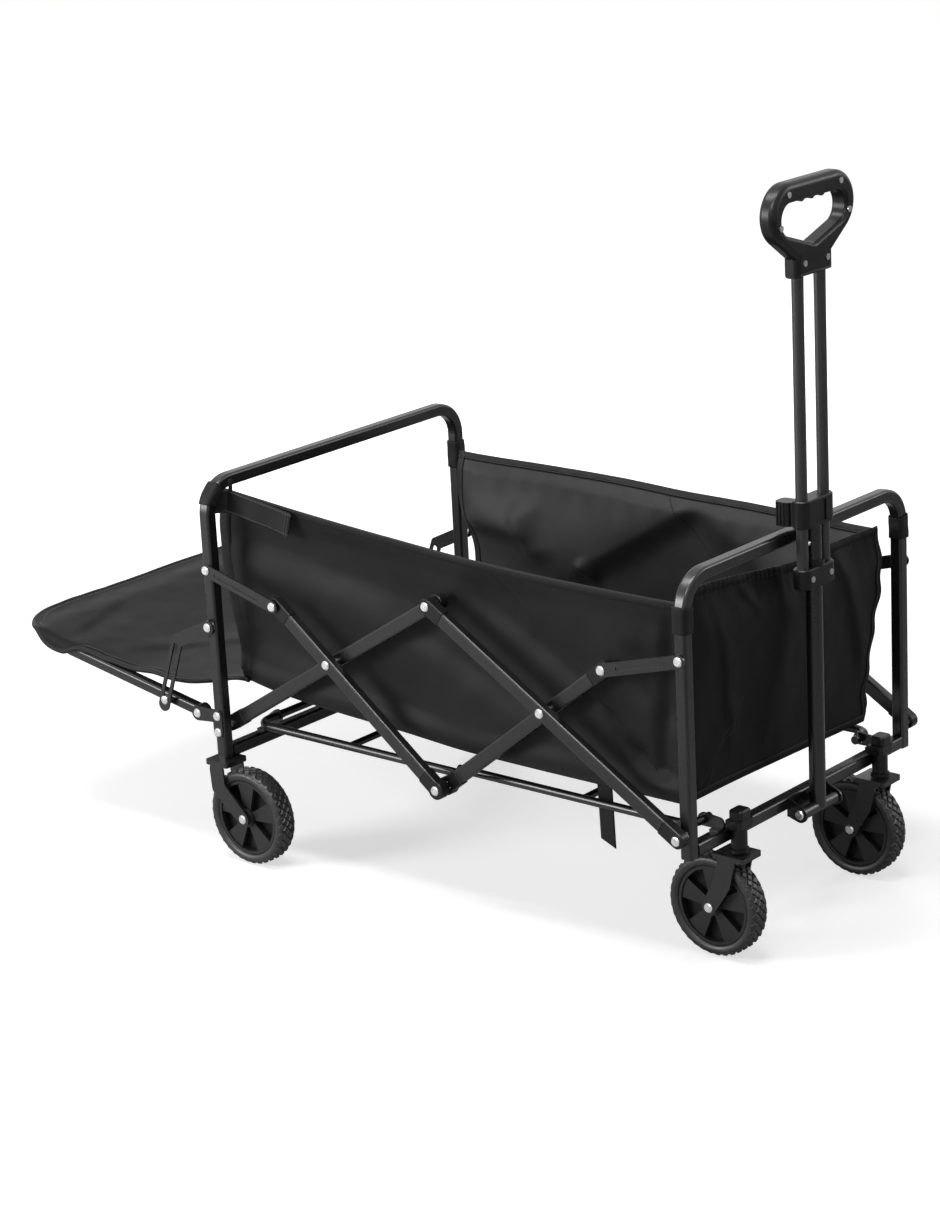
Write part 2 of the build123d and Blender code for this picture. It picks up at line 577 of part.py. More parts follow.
def make_basket():
    save("basket_side_right", plate(basket_wall(RIGHT_REAR_X, RIGHT_RIM), -WALL_Y, -WALL_Y - CLOTH_T))
    save("basket_side_left", plate(basket_wall(LEFT_REAR_X, LEFT_RIM), WALL_Y + CLOTH_T, WALL_Y))
    ramp_top = CLOTH_FLOOR_Z + RAMP_RISE
    low = [(RIGHT_REAR_X, ramp_top), (RAMP_END_X, CLOTH_FLOOR_Z), (WALL_FRONT_X, CLOTH_FLOOR_Z)]
    high = [(x, z + CLOTH_T) for x, z in reversed(low)]
    floor_half = WALL_Y - GAP
    save("basket_floor", plate(Polygon(*low, *high, align=None), floor_half, -floor_half))
    height = FRONT_PANEL_TOP - CLOTH_FLOOR_Z
    face = Pos(0, CLOTH_FLOOR_Z + height / 2) * RectangleRounded(2 * PLANE_IN - 6, height, 14)
    save("basket_front_panel", extrude(Plane.YZ.offset(CLOTH_FRONT_X) * face, amount=-CLOTH_T))
    strap_y = FLOOR_Y_FRONT - ROD_R - GAP - STRAP_T / 2
    strap_z = CLOTH_FLOOR_Z - GAP - STRAP_L / 2
    save("hanging_strap", Pos(STRAP_X, -strap_y, strap_z) * Box(STRAP_W, STRAP_T, STRAP_L))


make_rear_frame()
make_front_frame()
make_side_bars()
make_links()
make_wheels()
make_casters()
make_floor_frames()
make_tailgate()
make_handle()
make_basket()
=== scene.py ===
import json
import math
import bpy
from mathutils import Matrix, Vector, noise


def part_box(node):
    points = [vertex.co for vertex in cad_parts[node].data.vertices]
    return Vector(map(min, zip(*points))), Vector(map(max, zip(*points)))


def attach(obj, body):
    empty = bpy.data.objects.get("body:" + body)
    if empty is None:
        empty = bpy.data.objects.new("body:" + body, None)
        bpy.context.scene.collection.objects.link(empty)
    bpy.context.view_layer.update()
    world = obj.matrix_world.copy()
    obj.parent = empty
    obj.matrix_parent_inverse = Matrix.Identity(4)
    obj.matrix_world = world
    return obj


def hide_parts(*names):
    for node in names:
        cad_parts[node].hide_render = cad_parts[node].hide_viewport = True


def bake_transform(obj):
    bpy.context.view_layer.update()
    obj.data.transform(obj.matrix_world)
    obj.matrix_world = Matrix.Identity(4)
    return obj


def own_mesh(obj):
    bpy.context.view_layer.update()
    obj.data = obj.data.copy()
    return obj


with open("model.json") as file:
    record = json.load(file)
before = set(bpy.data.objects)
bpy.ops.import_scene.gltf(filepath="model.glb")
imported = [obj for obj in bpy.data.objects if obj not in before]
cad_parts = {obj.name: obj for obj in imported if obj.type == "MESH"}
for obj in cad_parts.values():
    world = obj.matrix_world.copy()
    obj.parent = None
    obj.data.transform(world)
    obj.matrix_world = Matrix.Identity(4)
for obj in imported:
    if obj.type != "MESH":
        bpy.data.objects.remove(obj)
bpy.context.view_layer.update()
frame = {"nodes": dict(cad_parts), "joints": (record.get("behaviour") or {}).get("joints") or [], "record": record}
nodes = frame["nodes"]


# Where the frame stands: everything soft is placed from the two leg frames
def middle(node, axis):
    low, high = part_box(node)
    return (low[axis] + high[axis]) / 2


rearLow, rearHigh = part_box("rear_frame_tube")
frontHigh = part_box("front_frame_tube")[1]
rearLegX = middle("rear_frame_tube", 0)
frontLegX = middle("front_frame_tube", 0)
midX = (rearLegX + frontLegX) / 2
rearLegY, rearTopZ = rearHigh[1], rearHigh[2]  # outer face of the rear legs, top of the rear bar
frontLegY, frontTopZ = frontHigh[1], frontHigh[2]
tubeSize = rearHigh[0] - rearLow[0]
print("frame loaded, legs at", round(rearLegX, 4), round(frontLegX, 4))


def place(x, y, z):  # x counts from half way between the legs
    return Vector((midX + x, y, z))


def ease(low, high, value):
    t = min(1.0, max(0.0, (value - low) / (high - low)))
    return t * t * (3 - 2 * t)


def wobble(a, b, seed):  # smooth noise, the same on every run
    return noise.noise(Vector((a, b, seed)))


def through(points, x):  # smooth curve through a few chosen points
    if x <= points[0][0]:
        return points[0][1]
    for k in range(len(points) - 1):
        (x0, y0), (x1, y1) = points[k], points[k + 1]
        if x <= x1:
            before = points[k - 1] if k else points[k]
            after = points[k + 2] if k + 2 < len(points) else points[k + 1]
            m0 = (y1 - before[1]) / (x1 - before[0]) * (x1 - x0)
            m1 = (after[1] - y0) / (after[0] - x0) * (x1 - x0)
            t = (x - x0) / (x1 - x0)
            a = 2 * t ** 3 - 3 * t ** 2 + 1
            b = t ** 3 - 2 * t ** 2 + t
            return a * y0 + b * m0 + (1 - a) * y1 + (t ** 3 - t ** 2) * m1
    return points[-1][1]


def crease(x, z, line):  # sharp on one side, soft on the other
    x0, z0, x1, z1, sharp, soft, height = line
    dx, dz = x1 - x0, z1 - z0
    length = math.hypot(dx, dz)
    along = ((x - x0) * dx + (z - z0) * dz) / length ** 2
    off = ((x - x0) * dz - (z - z0) * dx) / length
    fade = ease(-0.2, 0.2, along) * (1 - ease(0.8, 1.2, along))
    return height * fade * math.exp(-(off / (sharp if off > 0 else soft)) ** 2)


def creased(x, z, lines):
    return sum(crease(x, z, line) for line in lines)


def addNode(tree, kind, settings, sockets, output=0):
    made = tree.nodes.new(kind)
    for key, value in settings.items():
        setattr(made, key, value)
    for key, value in sockets.items():
        if isinstance(value, bpy.types.NodeSocket):
            tree.links.new(value, made.inputs[key])
        else:
            made.inputs[key].default_value = value
    return made.outputs[output]


# Shader sums are written as plain expressions on sockets
def wireMaths(operation):
    def join(self, other=0.0):
        return self.finish.node("ShaderNodeMath", {"operation": operation}, {0: self, 1: other})
    return join


class Wire:
    def __init__(self, finish, socket):
        self.finish = finish
        self.socket = socket

    def __rsub__(self, other):
        return self.finish.node("ShaderNodeMath", {"operation": "SUBTRACT"}, {0: other, 1: self})

    __add__ = __radd__ = wireMaths("ADD")
    __sub__ = wireMaths("SUBTRACT")
    __mul__ = __rmul__ = wireMaths("MULTIPLY")
    __pow__ = wireMaths("POWER")
    sine = wireMaths("SINE")
    size = wireMaths("ABSOLUTE")
    upTo = wireMaths("MINIMUM")
    above = wireMaths("GREATER_THAN")


class Finish:
    def __init__(self, name, constants):
        self.material = bpy.data.materials.new(name)
        self.material.use_nodes = True
        self.tree = self.material.node_tree
        self.shader = self.tree.nodes["Principled BSDF"]
        for socket, value in constants.items():
            self.shader.inputs[socket].default_value = value

    def node(self, kind, settings, sockets, output=0):
        plain = {key: value.socket if isinstance(value, Wire) else value for key, value in sockets.items()}
        return Wire(self, addNode(self.tree, kind, settings, plain, output))

    def coords(self, kind="Object"):
        return self.node("ShaderNodeTexCoord", {}, {}, kind)

    def cloud(self, where, scale, detail):
        return self.node("ShaderNodeTexNoise", {}, {"Vector": where, "Scale": scale, "Detail": detail})

    def blendColour(self, factor, a, b):
        return self.node("ShaderNodeMix", {"data_type": "RGBA"}, {0: factor, 6: (*a, 1), 7: (*b, 1)}, 2)

    def feed(self, socket, wire):
        self.tree.links.new(wire.socket, self.shader.inputs[socket])

    def relief(self, height, strength, depth):
        bump = self.node("ShaderNodeBump", {}, {"Height": height, "Strength": strength, "Distance": depth})
        self.feed("Normal", bump)

    def grain(self, where, scale, detail, strength, depth):
        self.relief(self.cloud(where, scale, detail), strength, depth)


# Plain finishes: two close colours in a soft cloud, roughness that follows it, and a fine grain. Each row: fixed
# inputs, scale and detail of the cloud, dark, light, roughness, its spread, scale, detail, strength, depth of the grain
plainLooks = {
    "powderCoat": ({"Specular IOR Level": 0.5}, (14, 3), (0.006, 0.006, 0.0064), (0.01, 0.01, 0.0105), 0.22, 0.12,
                   (850, 2, 0.1, 0.0004)),
    "zincRivet": ({"Metallic": 1.0}, (420, 3), (0.62, 0.61, 0.59), (0.83, 0.83, 0.82), 0.2, 0.2,
                  (1400, 1, 0.08, 0.0002)),
    "capPlastic": ({"Specular IOR Level": 0.24}, (22, 2), (0.0075, 0.0075, 0.0079), (0.012, 0.012, 0.0124), 0.26, 0.12,
                   (700, 3, 0.22, 0.0003)),
    "gripPlastic": ({"Specular IOR Level": 0.24}, (22, 2), (0.007, 0.007, 0.0074), (0.011, 0.011, 0.0114), 0.26, 0.12,
                    (520, 3, 0.22, 0.0004)),
    "darkScrew": ({"Metallic": 1.0}, (500, 2), (0.34, 0.34, 0.34), (0.52, 0.52, 0.51), 0.24, 0.18, None),
    "tyreRubber": ({"Specular IOR Level": 0.5}, (60, 4), (0.0095, 0.0095, 0.0099), (0.019, 0.019, 0.0192), 0.34, 0.2,
                   (900, 2, 0.2, 0.0003)),
    "blackThread": ({"Sheen Weight": 0.3}, (1500, 1), (0.016, 0.016, 0.017), (0.045, 0.045, 0.046), 0.5, 0.2, None)}


def makePlain(name):
    fixed, cloud, dark, light, rough, vary, grain = plainLooks[name]
    finish = Finish(name, fixed)
    where = finish.coords()
    spots = finish.cloud(where, *cloud)
    finish.feed("Base Color", finish.blendColour(spots, dark, light))
    finish.feed("Roughness", rough + spots * vary)
    if grain:
        finish.grain(where, *grain)
    return finish.material


# Rim plastic: the darkest colour is painted shade deep between the spokes, the face colour is the plastic's own
rimLook = {"shine": 0.24, "paintedPocketShade": (0.0022, 0.0022, 0.0023), "face": (0.021, 0.021, 0.0217), "rise": 105.0,
           "rough": 0.58, "faceGloss": 0.2, "cloud": (22, 2), "vary": 0.1, "grain": (400, 3, 0.22, 0.0003)}


def makeRim(name, middleY):  # painted shade: the colour darkens towards the wheel's mid-plane, deep in the pockets between the spokes
    finish = Finish(name, {"Specular IOR Level": rimLook["shine"]})
    where = finish.coords()
    width = finish.node("ShaderNodeSeparateXYZ", {}, {0: where}, 1)
    faceOutOfShade = ((width.size() - middleY).size() * rimLook["rise"]).upTo(1.0) ** 2.0
    broad = finish.cloud(where, *rimLook["cloud"])
    finish.feed("Base Color", finish.blendColour(faceOutOfShade, rimLook["paintedPocketShade"], rimLook["face"]))
    finish.feed("Roughness", rimLook["rough"] - faceOutOfShade * rimLook["faceGloss"] + broad * rimLook["vary"])
    finish.grain(where, *rimLook["grain"])
    return finish.material


rodLook = {"dark": (0.032, 0.032, 0.0333), "light": (0.044, 0.044, 0.0456), "draw": (1.0, 1.0, 0.03),
           "streak": (600, 2), "rough": 0.24, "vary": 0.14, "strength": 0.05, "depth": 0.0002}


def makeRod():  # streaks drawn out along the rod
    finish = Finish("satinRod", {})
    drawn = finish.node("ShaderNodeMapping", {}, {"Vector": finish.coords(), "Scale": rodLook["draw"]})
    streak = finish.cloud(drawn, *rodLook["streak"])
    finish.feed("Base Color", finish.blendColour(streak, rodLook["dark"], rodLook["light"]))
    finish.feed("Roughness", rodLook["rough"] + streak * rodLook["vary"])
    finish.relief(streak, rodLook["strength"], rodLook["depth"])
    return finish.material


# Woven cloths: dark, light, width of two threads, sheen, specular level
clothLooks = {
    "oxfordCloth": ((0.0095, 0.0095, 0.01), (0.0175, 0.0175, 0.0181), 0.0011, 0.01, 0.11),
    # a lighter copy of the oxford cloth with more shine: painted light on the inside of the bag
    "paintedLightCloth": ((0.017, 0.017, 0.0178), (0.03, 0.03, 0.031), 0.0011, 0.01, 0.2),
    # a darker copy of the oxford cloth with less shine: painted shade on the front wall, its bindings and the tailgate
    "paintedShadeCloth": ((0.0054, 0.0054, 0.0058), (0.0102, 0.0102, 0.0107), 0.0011, 0.01, 0.085),
    "webbingCloth": ((0.0115, 0.0115, 0.012), (0.0215, 0.0215, 0.022), 0.0022, 0.015, 0.11)}
weaveLook = {"sheenRough": 0.45, "wear": (30, 4), "threadShare": 0.35, "rough": 0.44, "wearRough": 0.16,
             "threadGloss": 0.06, "strength": 0.28, "depth": 0.0003}


def makeCloth(name):
    dark, light, pitch, sheen, shine = clothLooks[name]
    finish = Finish(name, {"Specular IOR Level": shine, "Sheen Weight": sheen,
                           "Sheen Roughness": weaveLook["sheenRough"]})
    uv = finish.coords("UV")
    across = finish.node("ShaderNodeSeparateXYZ", {}, {0: uv}, 0)
    down = finish.node("ShaderNodeSeparateXYZ", {}, {0: uv}, 1)
    turn = 2 * math.pi / pitch
    warp = (across * turn).sine() * 0.5 + 0.5
    weft = (down * turn).sine() * 0.5 + 0.5
    over = ((across * (turn / 2)).sine() * (down * (turn / 2)).sine()).above(0.0)
    weave = warp * over + weft * (1 - over)
    wear = finish.cloud(uv, *weaveLook["wear"])
    shade = weave * weaveLook["threadShare"] + wear * (1 - weaveLook["threadShare"])
    finish.feed("Base Color", finish.blendColour(shade, dark, light))
    finish.feed("Roughness", weaveLook["rough"] + wear * weaveLook["wearRough"] - weave * weaveLook["threadGloss"])
    finish.relief(weave, weaveLook["strength"], weaveLook["depth"])
    return finish.material


powderCoat, zincRivet, capPlastic, gripPlastic, darkScrew, tyreRubber, blackThread = map(makePlain, plainLooks)
oxfordCloth, paintedLightCloth, paintedShadeCloth, webbingCloth = map(makeCloth, clothLooks)
rimFinish = {end: makeRim("rimPlastic_" + end, middle("rim_" + end + "_left", 1)) for end in ("rear", "front")}
satinRod = makeRod()
slotFinish = {"powder_coated_steel": powderCoat, "zinc_rivet": zincRivet, "cap_plastic": capPlastic,
              "moulded_black_plastic": gripPlastic, "satin_black_rod": satinRod, "dark_screw": darkScrew,
              "tyre_rubber": tyreRubber, "black_oxford_cloth": oxfordCloth, "webbing": webbingCloth}
slotOf = {part["node"]: part["material_slot"] for part in frame["record"]["subparts"]}
for name, obj in nodes.items():
    obj.data.materials.clear()
    obj.data.materials.append(rimFinish[name.split("_")[1]] if "rim_" in name else slotFinish[slotOf[name]])
print("finishes made:", len(bpy.data.materials))


# Mesh helpers
def newPiece(name, vertices, faces, material, uvs=None):
    mesh = bpy.data.meshes.new(name)
    mesh.from_pydata(vertices, [], faces)
    mesh.materials.append(material)
    if uvs:
        layer = mesh.uv_layers.new(name="clothUV")
        for loop in mesh.loops:
            layer.data[loop.index].uv = uvs[loop.vertex_index]
    mesh.polygons.foreach_set("use_smooth", [True] * len(mesh.polygons))
    mesh.update()
    obj = bpy.data.objects.new(name, mesh)
    bpy.context.scene.collection.objects.link(obj)
    return obj


def settle(obj):  # live modifiers become the plain mesh
    bpy.context.view_layer.update()
    ready = obj.evaluated_get(bpy.context.evaluated_depsgraph_get())
    mesh = bpy.data.meshes.new_from_object(ready)
    obj.modifiers.clear()
    obj.data = mesh
    return obj


def thicken(obj, wall, offset=0.0, lining=None):
    modifier = obj.modifiers.new("wall", "SOLIDIFY")
    if lining:
        obj.data.materials.append(lining)
        modifier.material_offset = 1
    modifier.thickness = wall
    modifier.offset = offset
    modifier.use_even_offset = False
    return settle(obj)


def gridFaces(columns, rows):
    step = columns + 1
    return [(j * step + i, j * step + i + 1, (j + 1) * step + i + 1, (j + 1) * step + i)
            for j in range(rows) for i in range(columns)]


def clothGrid(name, pointAt, columns, rows, size, wall, material=oxfordCloth, lining=None):
    shares = [(i / columns, j / rows) for j in range(rows + 1) for i in range(columns + 1)]
    vertices = [pointAt(u, v) for u, v in shares]
    uvs = [(u * size[0], v * size[1]) for u, v in shares]
    obj = newPiece(name, vertices, gridFaces(columns, rows), material, uvs)
    return thicken(obj, wall, 0.0, lining)


def tubeAlong(name, path, axes, ring, uvStep, material):  # axes gives the two half widths across the way ahead
    vertices, uvs = [], []
    last = len(path) - 1
    for i, point in enumerate(path):
        side, lift = axes((path[min(i + 1, last)] - path[max(i - 1, 0)]).normalized())
        for k in range(ring):
            angle = 2 * math.pi * k / ring
            vertices.append(point + side * math.cos(angle) + lift * math.sin(angle))
            uvs.append((i * uvStep[0], k * uvStep[1]))
    faces = [(i * ring + k, (i + 1) * ring + k, (i + 1) * ring + (k + 1) % ring, i * ring + (k + 1) % ring)
             for i in range(last) for k in range(ring)]
    faces += [tuple(range(ring)), tuple(last * ring + k for k in range(ring - 1, -1, -1))]
    return newPiece(name, vertices, faces, material, uvs)


axisHole = 0.0001  # turned outlines start just off their axis


def turned(name, outline, count, material):  # a closed outline of radius and width, turned about the axle
    vertices, faces = [], []
    n = len(outline)
    for k in range(count):
        angle = 2 * math.pi * k / count
        vertices += [(r * math.cos(angle), y, r * math.sin(angle)) for r, y in outline]
        here, ahead = k * n, (k + 1) % count * n
        faces += [(here + j, ahead + j, ahead + (j + 1) % n, here + (j + 1) % n) for j in range(n)]
    return newPiece(name, vertices, faces, material)


def flatArea(obj):  # one face of a thin sheet
    return sum(p.area for p in obj.data.polygons) / 2


def joinPieces(name, parts):
    with bpy.context.temp_override(active_object=parts[0], selected_editable_objects=parts):
        bpy.ops.object.join()
    parts[0].name = name
    return parts[0]


# Geometry Nodes trees
class Tree:
    def __init__(self, name, inputs):
        self.tree = bpy.data.node_groups.new(name, "GeometryNodeTree")
        face = self.tree.interface
        face.new_socket("Geometry", in_out="INPUT", socket_type="NodeSocketGeometry")
        for label, kind in inputs:
            face.new_socket(label, in_out="INPUT", socket_type="NodeSocket" + kind)
        face.new_socket("Geometry", in_out="OUTPUT", socket_type="NodeSocketGeometry")
        self.source = self.tree.nodes.new("NodeGroupInput")
        self.sink = self.tree.nodes.new("NodeGroupOutput")

    def node(self, kind, settings, sockets, output=0):
        return addNode(self.tree, kind, settings, sockets, output)

    def maths(self, operation, a, b):
        return self.node("ShaderNodeMath", {"operation": operation}, {0: a, 1: b})

    def close(self, geometry):
        solid = self.node("GeometryNodeRealizeInstances", {}, {"Geometry": geometry})
        painted = self.node("GeometryNodeSetMaterial", {},
                            {"Geometry": solid, "Material": self.source.outputs["Material"]})
        self.tree.links.new(painted, self.sink.inputs[0])
        return self.tree


def grow(obj, tree, values):  # runs a tree on a piece and keeps the plain mesh
    modifier = obj.modifiers.new("grow", "NODES")
    modifier.node_group = tree
    for item in tree.interface.items_tree:
        if item.in_out == "INPUT" and item.name in values:
            modifier[item.identifier] = values[item.name]
    return settle(obj)


# Stitches, one short thread after another along a path
stitch = {"Pitch": 0.0042, "Length": 0.0031, "Radius": 0.00042}


def makeStitchTree():
    tree = Tree("stitchRow", (("Pitch", "Float"), ("Length", "Float"), ("Radius", "Float"), ("Material", "Material")))
    pin = tree.source.outputs
    path = tree.node("GeometryNodeMeshToCurve", {}, {"Mesh": pin["Geometry"]})
    evenly = tree.node("GeometryNodeResampleCurve", {"mode": "LENGTH"}, {"Curve": path, "Length": pin["Pitch"]})
    thread = tree.node("GeometryNodeMeshCylinder", {"fill_type": "TRIANGLE_FAN"},
                       {"Vertices": 6, "Radius": pin["Radius"], "Depth": pin["Length"]})
    heading = tree.node("GeometryNodeInputTangent", {}, {})
    aligned = tree.node("FunctionNodeAlignRotationToVector", {"axis": "Z"}, {"Vector": heading})
    row = tree.node("GeometryNodeInstanceOnPoints", {}, {"Points": evenly, "Instance": thread, "Rotation": aligned})
    return tree.close(row)


stitchTree = makeStitchTree()


def stitchRows(name, paths):  # each path is a list of points on the cloth
    vertices, edges = [], []
    for path in paths:
        base = len(vertices)
        vertices += path
        edges += [(base + k, base + k + 1) for k in range(len(path) - 1)]
    mesh = bpy.data.meshes.new(name)
    mesh.from_pydata(vertices, edges, [])
    obj = bpy.data.objects.new(name, mesh)
    bpy.context.scene.collection.objects.link(obj)
    return grow(obj, stitchTree, {**stitch, "Material": blackThread})


# Tyres: a turned carcass with rows of staggered lugs, each row with its share of the width, its lean and its drop
tyre = {"bead": 0.0545, "lip": ((0.0, -0.0035), (0.0018, -0.0012)),
        "shoulder": ((-0.0062, 0.0), (-0.003, -0.0005), (-0.001, -0.0018), (0.0, -0.0045)),
        "crown": (0.0002, 0.0025), "clear": 0.0002, "segments": 96, "treadHalf": 0.0116,
        "lugHeight": 0.0026, "lugSize": 0.0059, "lugTop": 0.6, "lugWidth": 0.93, "lugSink": 0.0003, "lugCount": 34,
        "rows": ((-1.0, -0.55, 0.0014), (-0.5, 0.0, 0.0), (0.0, 0.0, 0.0), (0.5, 0.0, 0.0), (1.0, 0.55, 0.0014))}


def makeLugTree():
    tree = Tree("treadLugs", (("Radius", "Float"), ("Half Width", "Float"), ("Lug Height", "Float"),
                              ("Lug Size", "Float"), ("Count", "Int"), ("Material", "Material")))
    pin = tree.source.outputs
    topSize = tree.maths("MULTIPLY", pin["Lug Size"], tyre["lugTop"])
    lug = tree.node("GeometryNodeMeshCone", {}, {"Vertices": 4, "Radius Top": topSize,
                                                 "Radius Bottom": pin["Lug Size"], "Depth": pin["Lug Height"]})
    spot = tree.node("GeometryNodeInputPosition", {}, {})
    outward = tree.node("FunctionNodeAlignRotationToVector", {"axis": "Z"}, {"Vector": spot})
    squared = tree.node("FunctionNodeAlignRotationToVector", {"axis": "X", "pivot_axis": "Z"},
                        {"Rotation": outward, "Vector": (0.0, 0.0, 1.0)})
    halfStep = tree.maths("DIVIDE", math.pi, pin["Count"])
    joined = tree.tree.nodes.new("GeometryNodeJoinGeometry")
    for k, (share, lean, drop) in enumerate(tyre["rows"]):
        radius = tree.maths("SUBTRACT", pin["Radius"], drop)
        ring = tree.node("GeometryNodeCurvePrimitiveCircle", {}, {"Resolution": pin["Count"], "Radius": radius})
        tilted = tree.node("GeometryNodeTransform", {}, {"Geometry": lug, "Rotation": (0.0, lean, 0.0)})
        row = tree.node("GeometryNodeInstanceOnPoints", {}, {"Points": ring, "Instance": tilted, "Rotation": squared,
                                                             "Scale": (tyre["lugWidth"], 1.0, 1.0)})
        shift = tree.node("ShaderNodeCombineXYZ", {}, {"Z": tree.maths("MULTIPLY", pin["Half Width"], share)})
        twist = tree.node("ShaderNodeCombineXYZ", {}, {"Z": halfStep} if k % 2 else {})
        placed = tree.node("GeometryNodeTransform", {}, {"Geometry": row, "Translation": shift, "Rotation": twist})
        tree.tree.links.new(placed, joined.inputs[0])
    upright = tree.node("GeometryNodeTransform", {}, {"Geometry": joined.outputs[0],
                                                      "Rotation": (math.pi / 2, 0.0, 0.0)})
    return tree.close(upright)


lugTree = makeLugTree()


def makeTyre(corner):
    low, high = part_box("tyre_" + corner)
    hub = (Vector(low) + Vector(high)) / 2
    half = (high[1] - low[1]) / 2 - tyre["clear"]
    base = (high[2] - low[2]) / 2 - tyre["clear"] - tyre["lugHeight"]
    side = [(tyre["bead"] + r, half + y) for r, y in tyre["lip"]]
    side += [(base + r, half + y) for r, y in tyre["shoulder"]]
    side.append((base + tyre["crown"][0], tyre["crown"][1]))
    outline = side + [(r, -y) for r, y in reversed(side)]
    carcass = turned("tyreCarcass_" + corner, outline, tyre["segments"], tyreRubber)
    lugs = newPiece("tyreLugs_" + corner, [(0, 0, 0)], [], tyreRubber)
    grow(lugs, lugTree, {"Radius": base - tyre["lugSink"], "Half Width": tyre["treadHalf"],
                         "Lug Height": tyre["lugHeight"], "Lug Size": tyre["lugSize"],
                         "Count": tyre["lugCount"], "Material": tyreRubber})
    whole = joinPieces("tyreTread_" + corner, [carcass, lugs])
    whole.data.transform(Matrix.Translation(hub))
    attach(whole, "wheel_" + corner)
    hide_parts("tyre_" + corner)


for corner in ("rear_right", "rear_left", "front_right", "front_left"):
    makeTyre(corner)
print("tyres made")

# Heads of the pins that slide in the tailgate stays
pinHead = {"radius": 0.0064, "neck": 0.0034, "height": 0.0026, "sink": 0.0034, "gap": 0.0004, "rim": 0.3,
           "dome": (0.5, 0.9, 1.25, 1.5), "segments": 28}


def makePinHeads():
    pinX, pinZ = middle("tailgate_rivets", 0), middle("tailgate_rivets", 2)
    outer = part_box("tailgate_stays")[1][1] + pinHead["gap"]
    r, neck, h, sink, rim = (pinHead[k] for k in ("radius", "neck", "height", "sink", "rim"))
    outline = [(axisHole, h)]
    outline += [(r * math.cos(a), h * (rim + (1 - rim) * math.sin(a))) for a in reversed(pinHead["dome"])]
    outline += [(r, h * rim), (r, 0), (neck, 0), (neck, -sink), (axisHole, -sink)]
    heads = []
    for side in (-1, 1):
        head = turned("pinHead", outline, pinHead["segments"], zincRivet)
        head.data.transform(Matrix.Rotation(0 if side > 0 else math.pi, 4, "Z"))
        head.data.transform(Matrix.Translation((pinX, side * outer, pinZ)))
        heads.append(head)
    whole = joinPieces("slotPinHeads", heads)
    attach(whole, "tailgate")


makePinHeads()
print("pin heads made")

# Rear rod of the floor frame, from hook to hook on the line it turns about
floorRod = {"half": 0.174, "slack": 0.0003, "bevel": 0.0015, "segments": 32}


def makeFloorRod():
    low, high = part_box("rear_floor_frame")
    thick = (high[2] - low[2]) / 2
    r, half, bevel = thick - floorRod["slack"], floorRod["half"], floorRod["bevel"]
    end = [(axisHole, half), (r - bevel, half), (r, half - bevel), (r, half - 2 * bevel)]
    outline = end + [(radius, -y) for radius, y in reversed(end)]
    rod = turned("floorRodRear", outline, floorRod["segments"], powderCoat)
    rod.data.transform(Matrix.Translation((low[0] + thick, 0, low[2] + thick)))
    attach(rod, "rear_floor")


makeFloorRod()
print("floor rod made")

# The bag: one lofted shell from the near rim over the floor to the far rim
bag = {"wallY": 0.2328, "round": 0.02, "frontX": 0.3886, "cloth": 0.0013, "columns": 150,
       "nearRows": 64, "cornerRows": 6, "floorRows": 44, "farRows": 64,
       "nearTop": ((-0.408, 0.536), (-0.256, 0.521), (-0.075, 0.507), (0.097, 0.497), (0.261, 0.494), (0.389, 0.494)),
       "farTop": ((-0.4, 0.492), (-0.352, 0.488), (-0.061, 0.487), (0.096, 0.482), (0.389, 0.48)),
       "low": ((-0.408, 0.256), (-0.319, 0.242), (-0.225, 0.235), (-0.096, 0.229), (0.028, 0.222), (0.389, 0.221)),
       "nearRear": ((0.0, -0.387), (0.13, -0.3925), (0.27, -0.4005), (0.42, -0.408), (0.56, -0.414), (0.78, -0.4155),
                    (1.0, -0.405)),
       "farRear": ((0.0, -0.345), (0.35, -0.338), (0.6, -0.357), (1.0, -0.361)),
       "cornerPull": 0.052, "pullFrom": 0.13, "floorWave": 0.002, "floorFront": 0.3838, "lip": 0.016, "lipLap": 0.004,
       "frontHem": ((-0.232, 0.229), (-0.119, 0.228), (0.017, 0.224), (0.173, 0.219)),
       "meanRear": -0.396, "nearHeight": 0.27, "farHeight": 0.262, "leastLean": 0.0005}

# A fold runs from one x, z to another, with a sharp and a soft width and a height
nearWall = {"lean": 0.0022, "sag": 0.0035, "sagWave": (7, 9, 3.1), "crumple": 0.0012, "crumpleWave": (26, 30, 8.4),
            "ripple": 0.0, "rimHold": 0.25, "rimFrom": 0.86,
            "folds": (
    (-0.4, 0.475, -0.05, 0.425, 0.03, 0.075, 0.0105), (-0.1, 0.405, 0.15, 0.305, 0.022, 0.06, 0.0095),
    (0.05, 0.455, 0.23, 0.36, 0.018, 0.05, 0.0085), (0.262, 0.335, 0.312, 0.262, 0.008, 0.03, 0.008),
    (0.298, 0.288, 0.362, 0.226, 0.008, 0.022, 0.0075), (0.368, 0.47, 0.345, 0.24, 0.012, 0.02, 0.009),
    (-0.408, 0.45, -0.381, 0.29, 0.01, 0.022, 0.006), (-0.33, 0.33, -0.05, 0.27, 0.03, 0.06, 0.006),
    (0.3, 0.42, 0.365, 0.33, 0.01, 0.03, 0.005))}
farWall = {"lean": 0.002, "sag": 0.005, "sagWave": (6, 8, 17.0), "crumple": 0.0013, "crumpleWave": (24, 22, 5.5),
           "ripple": 0.0012, "rimHold": 0.3, "rimFrom": 0.88,
           "folds": (
    (-0.238, 0.425, -0.212, 0.345, 0.018, 0.03, 0.011), (-0.345, 0.392, -0.225, 0.385, 0.014, 0.04, 0.013),
    (-0.15, 0.335, 0.085, 0.478, 0.02, 0.075, 0.016), (-0.365, 0.455, -0.14, 0.335, 0.045, 0.08, 0.011),
    (-0.13, 0.352, -0.105, 0.33, 0.006, 0.015, 0.007), (0.1, 0.46, 0.3, 0.34, 0.03, 0.06, 0.012))}


